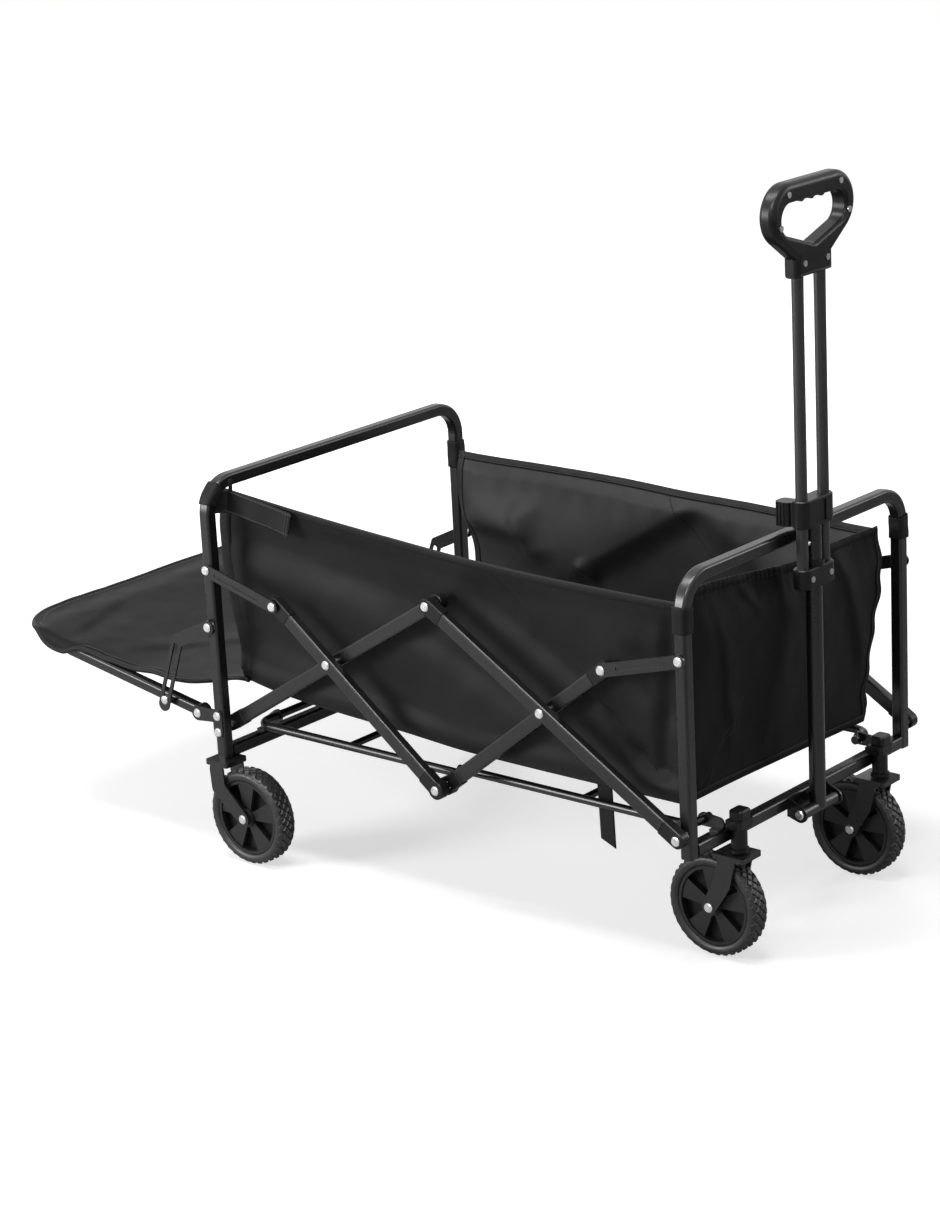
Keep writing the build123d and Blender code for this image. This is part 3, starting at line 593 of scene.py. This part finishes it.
def inward(wall, x, z, up):  # how far a wall leans into the bag: flat along its foot, close to flat along its rim
    depth = wall["lean"] + creased(x, z, wall["folds"])
    a, b, seed = wall["sagWave"]
    depth += wall["sag"] * (0.5 + 0.5 * wobble(x * a, z * b, seed))
    a, b, seed = wall["crumpleWave"]
    depth += wall["crumple"] * wobble(x * a, z * b, seed)
    depth += wall["ripple"] * math.sin(x * 150) * ease(0.7, 0.95, up) * (1 - ease(0.95, 1.0, up))
    rim = wall["rimHold"] + (1 - wall["rimHold"]) * (1 - ease(wall["rimFrom"], 1.0, up))
    return max(bag["leastLean"], depth * ease(0.0, 0.1, up) * rim)


def farPull(x):  # the far front corner is drawn in towards the handle
    return bag["cornerPull"] * ease(bag["pullFrom"], bag["frontX"], x)


def bagLow(x):
    return through(bag["low"], x)


def wallSpot(t, up, rearEdge, topEdge):  # x and z on a side wall, t along it and up its height
    rear = through(rearEdge, up)
    x = rear + (bag["frontX"] - rear) * t
    bottom = bagLow(x) + bag["round"]
    return x, bottom + (through(topEdge, x) - bottom) * up


def nearPoint(t, up):
    x, z = wallSpot(t, up, bag["nearRear"], bag["nearTop"])
    return place(x, -bag["wallY"] + inward(nearWall, x, z, up), z)


def farPoint(t, up):
    x, z = wallSpot(t, up, bag["farRear"], bag["farTop"])
    pull = farPull(x) * (1 - 0.62 * ease(0.35, 1.0, up))
    return place(x, bag["wallY"] - inward(farWall, x, z, up) - pull, z)


def floorPoint(t, across):  # its front edge turns up behind the hem of the front wall
    rear = through(bag["nearRear"], 0.0)
    x = rear + (bag["floorFront"] - rear) * t
    near = -bag["wallY"] + bag["round"]
    far = bag["wallY"] - bag["round"] - farPull(x)
    y = near + (far - near) * across
    wave = bag["floorWave"] * wobble(x * 9, across * 4, 2.0) * math.sin(math.pi * across)
    rise = max(0.0, through(bag["frontHem"], y) + bag["lipLap"] - bagLow(x))
    lip = rise * ease(bag["floorFront"] - bag["lip"], bag["floorFront"], x)
    return place(x, y, bagLow(x) + wave + lip)


bagRows = [("near", 1 - k / bag["nearRows"]) for k in range(bag["nearRows"])]
bagRows += [("nearCorner", k / bag["cornerRows"]) for k in range(bag["cornerRows"])]
bagRows += [("floor", k / bag["floorRows"]) for k in range(bag["floorRows"])]
bagRows += [("farCorner", k / bag["cornerRows"]) for k in range(bag["cornerRows"])]
bagRows += [("far", k / bag["farRows"]) for k in range(bag["farRows"] + 1)]


def bagPoint(t, share):
    part, k = bagRows[round(share * (len(bagRows) - 1))]
    if part == "near":
        return nearPoint(t, k)
    if part == "far":
        return farPoint(t, k)
    if part == "floor":
        return floorPoint(t, k)
    if part == "nearCorner":
        wall, flat, bend = nearPoint(t, 0.0), floorPoint(t, 0.0), k
    else:
        wall, flat, bend = farPoint(t, 0.0), floorPoint(t, 1.0), 1 - k
    turn = bend * math.pi / 2
    low = flat.z + (wall.z - flat.z) * (1 - math.sin(turn))
    side = wall.y + (flat.y - wall.y) * (1 - math.cos(turn))
    return Vector((wall.x + (flat.x - wall.x) * bend, side, low))


bagLength = bag["frontX"] - bag["meanRear"]
bagGirth = bag["nearHeight"] + bag["farHeight"] + 2 * bag["wallY"]
# the inside of the shell wears the lighter copy of the cloth, painted light
bagShell = clothGrid("bagShell", bagPoint, bag["columns"], len(bagRows) - 1, (bagLength, bagGirth), bag["cloth"],
                     paintedLightCloth, oxfordCloth)
print("bag shell made, area", round(flatArea(bagShell), 4))

# Front wall, hung between the front legs and gathered along its top
front = {"x": 0.3863, "width": 0.44, "height": 0.265, "columns": 130, "rows": 84, "cloth": 0.0013,
         "top": ((-0.232, 0.506), (-0.189, 0.506), (-0.108, 0.499), (0.019, 0.484), (0.1, 0.487), (0.212, 0.483)),
         "bottom": bag["frontHem"],
         "farEdge": ((0.0, 0.174), (0.3, 0.183), (0.45, 0.19), (0.7, 0.204), (1.0, 0.214)), "scallop": 0.003,
         "nearEdge": -0.2325, "drift": 0.004, "crumple": 0.0012, "foldShare": 0.8,
         "pucker": 0.0009, "crimp": 0.0018, "puff": 0.011, "puffLine": 0.74,
         "folds": (
    (-0.16, 0.44, -0.135, 0.27, 0.006, 0.02, 0.005), (-0.212, 0.236, -0.135, 0.325, 0.0045, 0.018, 0.007),
    (-0.19, 0.24, -0.12, 0.33, 0.004, 0.012, 0.005), (0.11, 0.47, 0.165, 0.3, 0.01, 0.022, 0.007),
    (0.05, 0.46, 0.075, 0.28, 0.014, 0.028, 0.005), (-0.02, 0.44, -0.06, 0.26, 0.02, 0.04, 0.006),
    (-0.115, 0.49, -0.075, 0.44, 0.005, 0.012, 0.004))}


def frontPoint(u, v):
    far = through(front["farEdge"], v) + front["scallop"] * math.sin(v * 31) * u * (1 - ease(0.8, 1.0, v))
    y = front["nearEdge"] + (far - front["nearEdge"]) * u
    bottom, top = through(front["bottom"], y), through(front["top"], y)
    z = bottom + (top - bottom) * v
    depth = creased(y, z, front["folds"])
    depth += front["drift"] * wobble(y * 9, z * 6, 21.0) + front["crumple"] * wobble(y * 34, z * 20, 1.0)
    gather = front["pucker"] * math.sin(y * 620 + 2 * wobble(y * 30, 0, 0)) * ease(0.83, 0.97, v) * (1 - u)
    gather += front["crimp"] * wobble(y * 70, z * 26, 6.0) * ease(0.72, 0.9, v)
    line = front["puffLine"] + 0.05 * wobble(y * 16, 0.0, 2.0)
    puff = front["puff"] * (1 - ease(line, 1.04, v)) * ease(0.1, line, v)
    free = ease(0.0, 0.12, u) * ease(0.0, 0.08, v)
    return place(front["x"] + (depth * front["foldShare"] + gather + puff) * free, y, z)


# the front wall wears the darker copy of the cloth, painted shade
frontWall = clothGrid("frontWall", frontPoint, front["columns"], front["rows"], (front["width"], front["height"]),
                      front["cloth"], paintedShadeCloth)
print("front wall made")

# Binding tape folded over a cloth edge; its section goes across the edge and down its drop
binding = {"drop": 0.01, "wideDrop": 0.017, "lift": 0.0011, "wall": 0.0009, "steps": 150, "look": 0.004,
           "rimInset": 0.045, "rearInset": 0.012, "sideInset": 0.03, "uvStep": (0.8, 0.003), "stitchDrop": 0.75,
           "section": (
    (-1, 1.0), (-1, 0.55), (-1, 0.12), (-0.55, -0.08), (0.55, -0.08), (1, 0.12), (1, 0.55), (1, 1.0))}


# at(t, d) is a point along the edge, d in from it
def bindEdge(name, at, inset, side, drop=binding["drop"], cloth=webbingCloth):
    vertices, uvs, seam = [], [], []
    for i in range(binding["steps"] + 1):
        t = i / binding["steps"]
        rim = at(t, 0)
        down = (at(t, inset) - rim).normalized()
        ahead = (at(min(1, t + binding["look"]), 0) - at(max(0, t - binding["look"]), 0)).normalized()
        out = ahead.cross(down).normalized() * side
        for j, (way, share) in enumerate(binding["section"]):
            vertices.append(rim + out * way * binding["lift"] + down * share * drop)
            uvs.append((t * binding["uvStep"][0], j * binding["uvStep"][1]))
        seam.append(rim + out * (binding["lift"] + binding["wall"] * 0.6) + down * drop * binding["stitchDrop"])
    faces = gridFaces(len(binding["section"]) - 1, binding["steps"])
    return thicken(newPiece(name, vertices, faces, cloth, uvs), binding["wall"]), seam


rimNear, seamNear = bindEdge("rimBindingNear", lambda t, d: nearPoint(t, 1 - d), binding["rimInset"], 1)
rimFar, seamFar = bindEdge("rimBindingFar", lambda t, d: farPoint(t, 1 - d), binding["rimInset"], -1)
rearNear, seamRearNear = bindEdge("rearBindingNear", lambda t, d: nearPoint(d, t), binding["rearInset"], 1,
                                  binding["wideDrop"])
rearFar, seamRearFar = bindEdge("rearBindingFar", lambda t, d: farPoint(d, t), binding["rearInset"], -1)
# the front bindings wear the darker copy of the cloth, painted shade
rimFront, seamFront = bindEdge("rimBindingFront", lambda t, d: frontPoint(t, 1 - d), binding["rimInset"], 1,
                               cloth=paintedShadeCloth)
hemFront, seamHem = bindEdge("hemBindingFront", lambda t, d: frontPoint(t, d), binding["rimInset"], -1,
                             cloth=paintedShadeCloth)
edgeFront, seamEdge = bindEdge("edgeBindingFront", lambda t, d: frontPoint(1 - d, t), binding["sideInset"], 1,
                               cloth=paintedShadeCloth)

# Slanting seam cord on the near wall and its twin inside the far wall, by share along and share up the wall
cord = {"lift": -0.0006, "radius": 0.0008, "ring": 6, "uvStep": (0.005, 0.001), "steps": 60,
            "level": Vector((0.02, 1, 0.03)),
            "near": ((0.6, 0.985), (0.79, 0.5), (0.93, 0.08)), "far": ((0.52, 0.97), (0.64, 0.55), (0.8, 0.1))}


def seamAxes(ahead):
    side = ahead.cross(cord["level"]).normalized()
    return side * cord["radius"], side.cross(ahead) * cord["radius"]


def makeSeamCord(name, wall, stations):
    path = []
    for k in range(cord["steps"] + 1):
        share = k / cord["steps"]
        t, up = (through([(i / 2, s[axis]) for i, s in enumerate(stations)], share) for axis in (0, 1))
        path.append(wall(t, up) + Vector((0, cord["lift"], 0)))
    return tubeAlong(name, path, seamAxes, cord["ring"], cord["uvStep"], oxfordCloth)


seamCordNear = makeSeamCord("seamCordNear", nearPoint, cord["near"])
seamCordFar = makeSeamCord("seamCordFar", farPoint, cord["far"])
bagStitches = stitchRows("bagStitches", [seamNear, seamFar, seamRearNear, seamRearFar])
frontStitches = stitchRows("frontStitches", [seamFront, seamHem, seamEdge])
print("bindings and stitches made")

# Sleeves that tie the cloth to the legs, each with its low and high end
sleeve = {"gap": 0.0011, "wall": 0.0012, "square": 5, "bend": 0.044, "ring": 28, "steps": 22, "ripple": 0.0007,
          "uvStep": 0.003, "rearNear": (0.519, 0.548), "rearFar": (0.452, 0.492), "frontNear": (0.463, 0.496),
          "frontFar": (0.463, 0.494)}


def legSleeve(name, leg, side, low, high):  # follows the leg into the bend at its top
    legX, outerY, topZ = leg
    centreY = outerY - tubeSize / 2
    half = tubeSize / 2 + sleeve["gap"]
    bendZ = topZ - tubeSize / 2 - sleeve["bend"]
    n = sleeve["ring"]
    square = sleeve["square"]
    vertices, uvs = [], []
    for i in range(sleeve["steps"] + 1):
        run = low + (high - low) * i / sleeve["steps"]
        angle = max(0.0, run - bendZ) / sleeve["bend"]
        y = centreY - sleeve["bend"] * (1 - math.cos(angle))
        z = min(run, bendZ) + sleeve["bend"] * math.sin(angle)
        outward = Vector((0, math.cos(angle), math.sin(angle)))
        for k in range(n):
            turn = 2 * math.pi * k / n
            c, s = math.cos(turn), math.sin(turn)
            ripple = sleeve["ripple"] * wobble(turn * 1.3, run * 60, legX)
            reach = (half + ripple) / (abs(c) ** square + abs(s) ** square) ** (1 / square)
            point = Vector((legX + reach * c, y, z)) + outward * reach * s
            vertices.append(Vector((point.x, point.y * side, point.z)))
            uvs.append((k * sleeve["uvStep"], run))
    faces = [(i * n + k, i * n + (k + 1) % n, (i + 1) * n + (k + 1) % n, (i + 1) * n + k)
             for i in range(sleeve["steps"]) for k in range(n)]
    if side < 0:
        faces = [quad[::-1] for quad in faces]
    return thicken(newPiece(name, vertices, faces, oxfordCloth, uvs), sleeve["wall"], 1.0)


rearLeg = (rearLegX, rearLegY, rearTopZ)
frontLeg = (frontLegX, frontLegY, frontTopZ)
rearSleeves = [legSleeve("rearSleeveNear", rearLeg, -1, *sleeve["rearNear"]),
               legSleeve("rearSleeveFar", rearLeg, 1, *sleeve["rearFar"])]
frontSleeves = [legSleeve("frontSleeveNear", frontLeg, -1, *sleeve["frontNear"]),
                legSleeve("frontSleeveFar", frontLeg, 1, *sleeve["frontFar"])]

# The tie band along the near rim, from the rear leg to its stitched end
band = {"start": -0.402, "end": -0.266, "height": 0.034, "wall": 0.0014, "columns": 60, "rows": 10, "rise": 0.004,
        "slope": 0.007, "slant": 0.008, "stand": 0.0026, "wallFace": 0.2365, "ripple": 0.0008, "lifted": 0.0045,
        "stitchLift": 0.0011, "longRows": (0.08, 0.92), "endRows": (0.97, 0.93)}


def bandPoint(u, v):
    x = band["start"] + (band["end"] - band["start"]) * u
    z = through(bag["nearTop"], x) + band["rise"] - band["height"] * (1 - v) - band["slope"] * u
    toLeg = (rearLegY - tubeSize - band["wallFace"]) * (1 - ease(0.0, 0.1, u))
    lifted = band["lifted"] * ease(0.8, 1.0, u) * (1 - 0.4 * v)
    ripple = band["ripple"] * math.sin(u * 17) * (1 - v)
    y = -bag["wallY"] - band["stand"] - toLeg - ripple - lifted
    return place(x + band["slant"] * (v - 1) * u, y, z)


bandLength = band["end"] - band["start"]
tieBand = clothGrid("tieBand", bandPoint, band["columns"], band["rows"], (bandLength, band["height"]), band["wall"])
onBand = Vector((0, -band["stitchLift"], 0))
bandSeams = [[bandPoint(u / 40, v) + onBand for u in range(41)] for v in band["longRows"]]
bandSeams += [[bandPoint(u, v / 10) + onBand for v in range(11)] for u in band["endRows"]]
bandStitches = stitchRows("bandStitches", bandSeams)

# Small loop of tape that stands up behind the band
rimTape = {"x": -0.384, "half": 0.0022, "bow": 0.003, "stand": 0.0022, "width": 0.005, "foot": 0.534,
           "height": 0.018, "length": 0.037, "wall": 0.0012}


def loopPoint(u, v):
    bend = math.pi * v
    x = rimTape["x"] + rimTape["half"] * math.cos(bend) + rimTape["bow"] * math.sin(bend / 2)
    y = -bag["wallY"] - rimTape["stand"] + rimTape["width"] * (u - 0.5)
    return place(x, y, rimTape["foot"] + rimTape["height"] * math.sin(bend) ** 0.8)


rimLoop = clothGrid("rimLoop", loopPoint, 4, 26, (rimTape["width"], rimTape["length"]), rimTape["wall"], webbingCloth)
print("sleeves and band made")

# Tailgate panel: a bound board of cloth that runs on as a flap into the bag's floor
gate = {"tilt": math.radians(10.0), "rearX": -0.827, "flapX": -0.378, "half": 0.267, "flare": 0.015, "corner": 0.1,
        "columns": 110, "rows": 90, "crowd": 1.35, "lift": 0.0118, "board": 0.0056, "flapWall": 0.0018,
        "edgeRoll": 0.011, "edgeWall": 0.42, "droop": 0.01, "hang": 0.013, "dip": 0.007, "flapIn": 0.036,
        "level": ((-0.66, 0.2575), (-0.56, 0.249), (-0.44, 0.252), (-0.388, 0.2578), (-0.378, 0.2572)),
        "folds": (
    (-0.62, -0.2, -0.5, -0.05, 0.012, 0.03, 0.003), (-0.75, -0.12, -0.71, -0.24, 0.008, 0.02, -0.0035),
    (-0.74, 0.08, -0.7, 0.2, 0.01, 0.03, 0.003)),
        "edgeWave": 0.0022, "sag": 0.0016, "crumple": 0.0007, "blendFrom": -0.395, "blendTo": -0.53}
tape = {"wide": 0.0042, "tall": 0.0036, "ring": 10, "uvStep": (0.006, 0.002), "sideShare": 0.36, "steps": 240,
            "spacing": 0.003, "stitchBack": 0.011, "stitchSide": 0.009, "stitchLift": 0.0002}
hinge = next(j for j in frame["joints"] if j["name"] == "tailgate_hinge")["pos_m"]


def gateHeight(x):
    plane = hinge[2] + (hinge[0] - midX - x) * math.tan(gate["tilt"]) + gate["lift"]
    level = through(gate["level"], x)
    return plane + (max(plane, level) - plane) * ease(-0.66, -0.54, x)


def gateOutline(x):  # half width of the panel at x: round corners at its far end
    into = x - gate["rearX"]
    half = gate["half"] + gate["flare"] * (1 - ease(-0.715, -0.65, x))
    if into < gate["corner"]:
        return half - gate["corner"] + math.sqrt(max(0.0, gate["corner"] ** 2 - (gate["corner"] - into) ** 2))
    dip = gate["dip"] * math.exp(-((x + 0.55) / 0.05) ** 2)
    return half - dip - gate["flapIn"] * ease(-0.47, -0.412, x)


def gatePoint(u, v):  # stations crowd towards the rounded end
    x = gate["rearX"] + (gate["flapX"] - gate["rearX"]) * u ** gate["crowd"]
    half = max(0.004, gateOutline(x))
    y = half * math.sin(math.pi * (v - 0.5))
    z = gateHeight(x) - gate["droop"] * (1 - ease(gate["rearX"], -0.755, x))
    z -= gate["hang"] * ease(0.27, 0.283, abs(y)) * (1 - ease(-0.71, -0.66, x))
    z += gate["edgeWave"] * wobble(x * 26, y * 5, 12.0) * ease(0.9, 1.0, abs(y) / half)
    z += gate["sag"] * wobble(x * 10, y * 9, 4.0) + gate["crumple"] * wobble(x * 34, y * 30, 9.0)
    return place(x, y, z + creased(x, y, gate["folds"]))


def makeTailgateCloth():  # an upper and a lower grid, closed round the edge
    columns, rows = gate["columns"], gate["rows"]
    vertices, uvs = [], []
    for way in (1, -1):
        for j in range(rows + 1):
            for i in range(columns + 1):
                point = gatePoint(i / columns, j / rows)
                x = point.x - midX
                inward = min(gateOutline(x) - abs(point.y), x - gate["rearX"])
                edge = min(1.0, max(0.0, inward / gate["edgeRoll"]))
                wall = gate["flapWall"] + (gate["board"] - gate["flapWall"]) * (1 - ease(-0.5, -0.45, x))
                swell = wall / 2 * (gate["edgeWall"] + (1 - gate["edgeWall"]) * math.sqrt(edge))
                vertices.append(point + Vector((0, 0, way * swell)))
                uvs.append((x - gate["rearX"], point.y))
    step = columns + 1
    lower = step * (rows + 1)
    faces = gridFaces(columns, rows)
    faces += [tuple(k + lower for k in reversed(quad)) for quad in faces]
    border = list(range(columns)) + [j * step + columns for j in range(rows)]
    border += [rows * step + i for i in range(columns, 0, -1)] + [j * step for j in range(rows, 0, -1)]
    for a, b in zip(border, border[1:] + border[:1]):
        faces.append((b, a, a + lower, b + lower))
    # the tailgate wears the darker copy of the cloth, painted shade
    return newPiece("tailgateCloth", vertices, faces, paintedShadeCloth, uvs)


def gateRim(share):  # once round the panel, from flap corner to flap corner
    side = tape["sideShare"]
    if share < side:
        return gatePoint(1 - share / side, 0.0)
    if share > 1 - side:
        return gatePoint((share - (1 - side)) / side, 1.0)
    return gatePoint(0.0, (share - side) / (1 - 2 * side))


def tapeAxes(ahead):
    return ahead.cross(Vector((0, 0, 1))).normalized() * tape["wide"], Vector((0, 0, tape["tall"]))


def onGateTape(point):  # where the stitches lie, inside the tape and on top of the board
    back = tape["stitchBack"] * (1 if point.x < midX - 0.79 else 0.2)
    side = -tape["stitchSide"] * (1 if point.y > 0 else -1)
    return point + Vector((back, side, gate["board"] / 2 + tape["stitchLift"]))


tailgateCloth = makeTailgateCloth()
gatePath = [gateRim(0.0)]
for k in range(1, tape["steps"] + 1):
    rimSpot = gateRim(k / tape["steps"])
    if (rimSpot - gatePath[-1]).length > tape["spacing"]:
        gatePath.append(rimSpot)
gateBinding = tubeAlong("tailgateBinding", gatePath, tapeAxes, tape["ring"], tape["uvStep"], webbingCloth)
gateStitches = stitchRows("tailgateStitches", [[onGateTape(point) for point in gatePath]])
print("tailgate cloth made")

# Hanging strap end with a slanting cut
strap = {"cut": 0.01, "swing": 0.004, "bow": 0.002, "wall": 0.0016, "columns": 10, "rows": 40}
strapLow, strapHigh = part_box("hanging_strap")
strapWidth, strapHeight = strapHigh[0] - strapLow[0], strapHigh[2] - strapLow[2]


def strapPoint(u, v):
    cut = strap["cut"] * (1 - u)
    x = strapLow[0] + strapWidth * u + strap["swing"] * (1 - v) ** 2
    y = middle("hanging_strap", 1) + strap["bow"] * math.sin(2.6 * v)
    return Vector((x, y, strapLow[2] + cut + (strapHeight - cut) * v))


strapEnd = clothGrid("strapEnd", strapPoint, strap["columns"], strap["rows"], (strapWidth, strapHeight), strap["wall"],
                     webbingCloth)
print("strap made")

# What each soft piece rides on; the tailgate pieces stay where they are built
bagTrim = [rimNear, rimFar, rearNear, rearFar, seamCordNear, seamCordFar, bagStitches, rimLoop]
frontTrim = [rimFront, hemFront, edgeFront, frontStitches]


for piece in (bagShell, *bagTrim, tieBand, bandStitches):
    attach(piece, "rear_frame")
    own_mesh(piece)
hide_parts("basket_side_right", "basket_side_left", "basket_floor")
for piece in (frontWall, *frontTrim, *frontSleeves):
    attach(piece, "front_frame")
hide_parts("basket_front_panel")
for piece in rearSleeves:
    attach(piece, "rear_frame")
for piece in (tailgateCloth, gateBinding, gateStitches):
    tuple(place(gate["blendFrom"], 0, 0.25))
    tuple(place(gate["blendTo"], 0, 0.25))
    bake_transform(piece)
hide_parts("tailgate_panel")
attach(strapEnd, "front_floor")
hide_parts("hanging_strap")
print("soft pieces tied to the frame")

# Floor, light and camera
studio = {"floorSize": 14.0, "floorShade": 0.62, "whiteFrom": 0.9, "whiteTo": 2.2, "fill": 0.1}
view = {"target": (-0.158163, 0.0, 0.338517), "azimuth": 40.9022, "elevation": 17.3024, "roll": -2.9705,
        "distance": 4.486341, "focalPixels": 3170.193, "framePixels": 1215, "sensor": 36.0}
# Each light: spot, aim, size, energy, whether it shows in diffuse light and in gloss
lights = {"overhead": ((0.05, -0.6, 2.8), (0.0, 0.0, 0.3), (2.4, 0.6), 64, True, True),
          "keyLeft": ((-1.9, -2.9, 1.35), (0.0, 0.0, 0.35), (1.3, 1.3), 94, True, True),
          "edgeRight": ((2.9, 1.9, 1.5), (0.3, 0.0, 0.4), (0.6, 1.6), 5, True, True),
          "backFill": ((-2.0, 2.9, 1.3), (0.0, 0.0, 0.35), (1.6, 1.6), 45, True, False),
          "glintRight": ((2.5, 2.5, 1.8), (0.3, 0.0, 0.3), (0.6, 1.2), 20, False, True),
          "glintTop": ((0.9, -1.9, 2.4), (0.0, -0.2, 0.4), (1.0, 0.35), 32, False, True)}


def makeWorld():  # white to the eye and in reflections, dim as light
    world = bpy.data.worlds.new("studio")
    world.use_nodes = True
    tree = world.node_tree
    back = tree.nodes["Background"]
    back.inputs["Color"].default_value = (1, 1, 1, 1)
    seen = 0.0
    for name in ("Is Camera Ray", "Is Glossy Ray", "Is Transmission Ray"):
        ray = addNode(tree, "ShaderNodeLightPath", {}, {}, name)
        seen = addNode(tree, "ShaderNodeMath", {"operation": "MAXIMUM"}, {0: seen, 1: ray})
    level = addNode(tree, "ShaderNodeMapRange", {}, {"Value": seen, "To Min": studio["fill"], "To Max": 1.0})
    tree.links.new(level, back.inputs["Strength"])
    bpy.context.scene.world = world


def makeFloor():  # runs out into plain white, and keeps the shadow
    half, shade = studio["floorSize"] / 2, studio["floorShade"]
    finish = Finish("studioFloor", {"Base Color": (shade, shade, shade, 1), "Roughness": 0.9,
                                    "Specular IOR Level": 0.0, "Emission Strength": 1.0})
    reach = finish.node("ShaderNodeVectorMath", {"operation": "LENGTH"}, {0: finish.coords()}, "Value")
    spread = finish.node("ShaderNodeMapRange", {}, {"Value": reach, "From Min": studio["whiteFrom"],
                                                    "From Max": studio["whiteTo"], "To Min": shade, "To Max": 1.0})
    seen = finish.node("ShaderNodeLightPath", {}, {}, "Is Camera Ray")
    finish.feed("Emission Color", seen * spread)
    corners = [(-half, -half, 0), (half, -half, 0), (half, half, 0), (-half, half, 0)]
    newPiece("studioFloor", corners, [(0, 1, 2, 3)], finish.material)


def makeLight(name, spot, aim, size, energy, diffuse, gloss):
    data = bpy.data.lights.new(name, "AREA")
    data.shape = "RECTANGLE"
    data.size, data.size_y = size
    data.energy = energy
    obj = bpy.data.objects.new(name, data)
    obj.location = spot
    obj.visible_diffuse, obj.visible_glossy = diffuse, gloss
    obj.rotation_euler = (Vector(aim) - Vector(spot)).to_track_quat("-Z", "Y").to_euler()
    bpy.context.scene.collection.objects.link(obj)


def makeCamera():
    az, el, roll = (math.radians(view[k]) for k in ("azimuth", "elevation", "roll"))
    back = Vector((math.sin(az) * math.cos(el), -math.cos(az) * math.cos(el), math.sin(el)))
    right = (-back).cross(Vector((0, 0, 1))).normalized()
    up = right.cross(-back)
    tiltRight = right * math.cos(roll) + up * math.sin(roll)
    tiltUp = up * math.cos(roll) - right * math.sin(roll)
    data = bpy.data.cameras.new("photoCamera")
    data.sensor_width = view["sensor"]
    data.lens = view["focalPixels"] * view["sensor"] / view["framePixels"]
    data.clip_end = 50
    obj = bpy.data.objects.new("photoCamera", data)
    turn = Matrix((tiltRight, tiltUp, back)).transposed().to_4x4()
    obj.matrix_world = Matrix.Translation(place(*view["target"]) + back * view["distance"]) @ turn
    bpy.context.scene.collection.objects.link(obj)
    bpy.context.scene.camera = obj


makeWorld()
makeFloor()
for name, row in lights.items():
    makeLight(name, *row)
makeCamera()
bpy.context.scene.view_settings.view_transform = "Standard"
print("studio set")
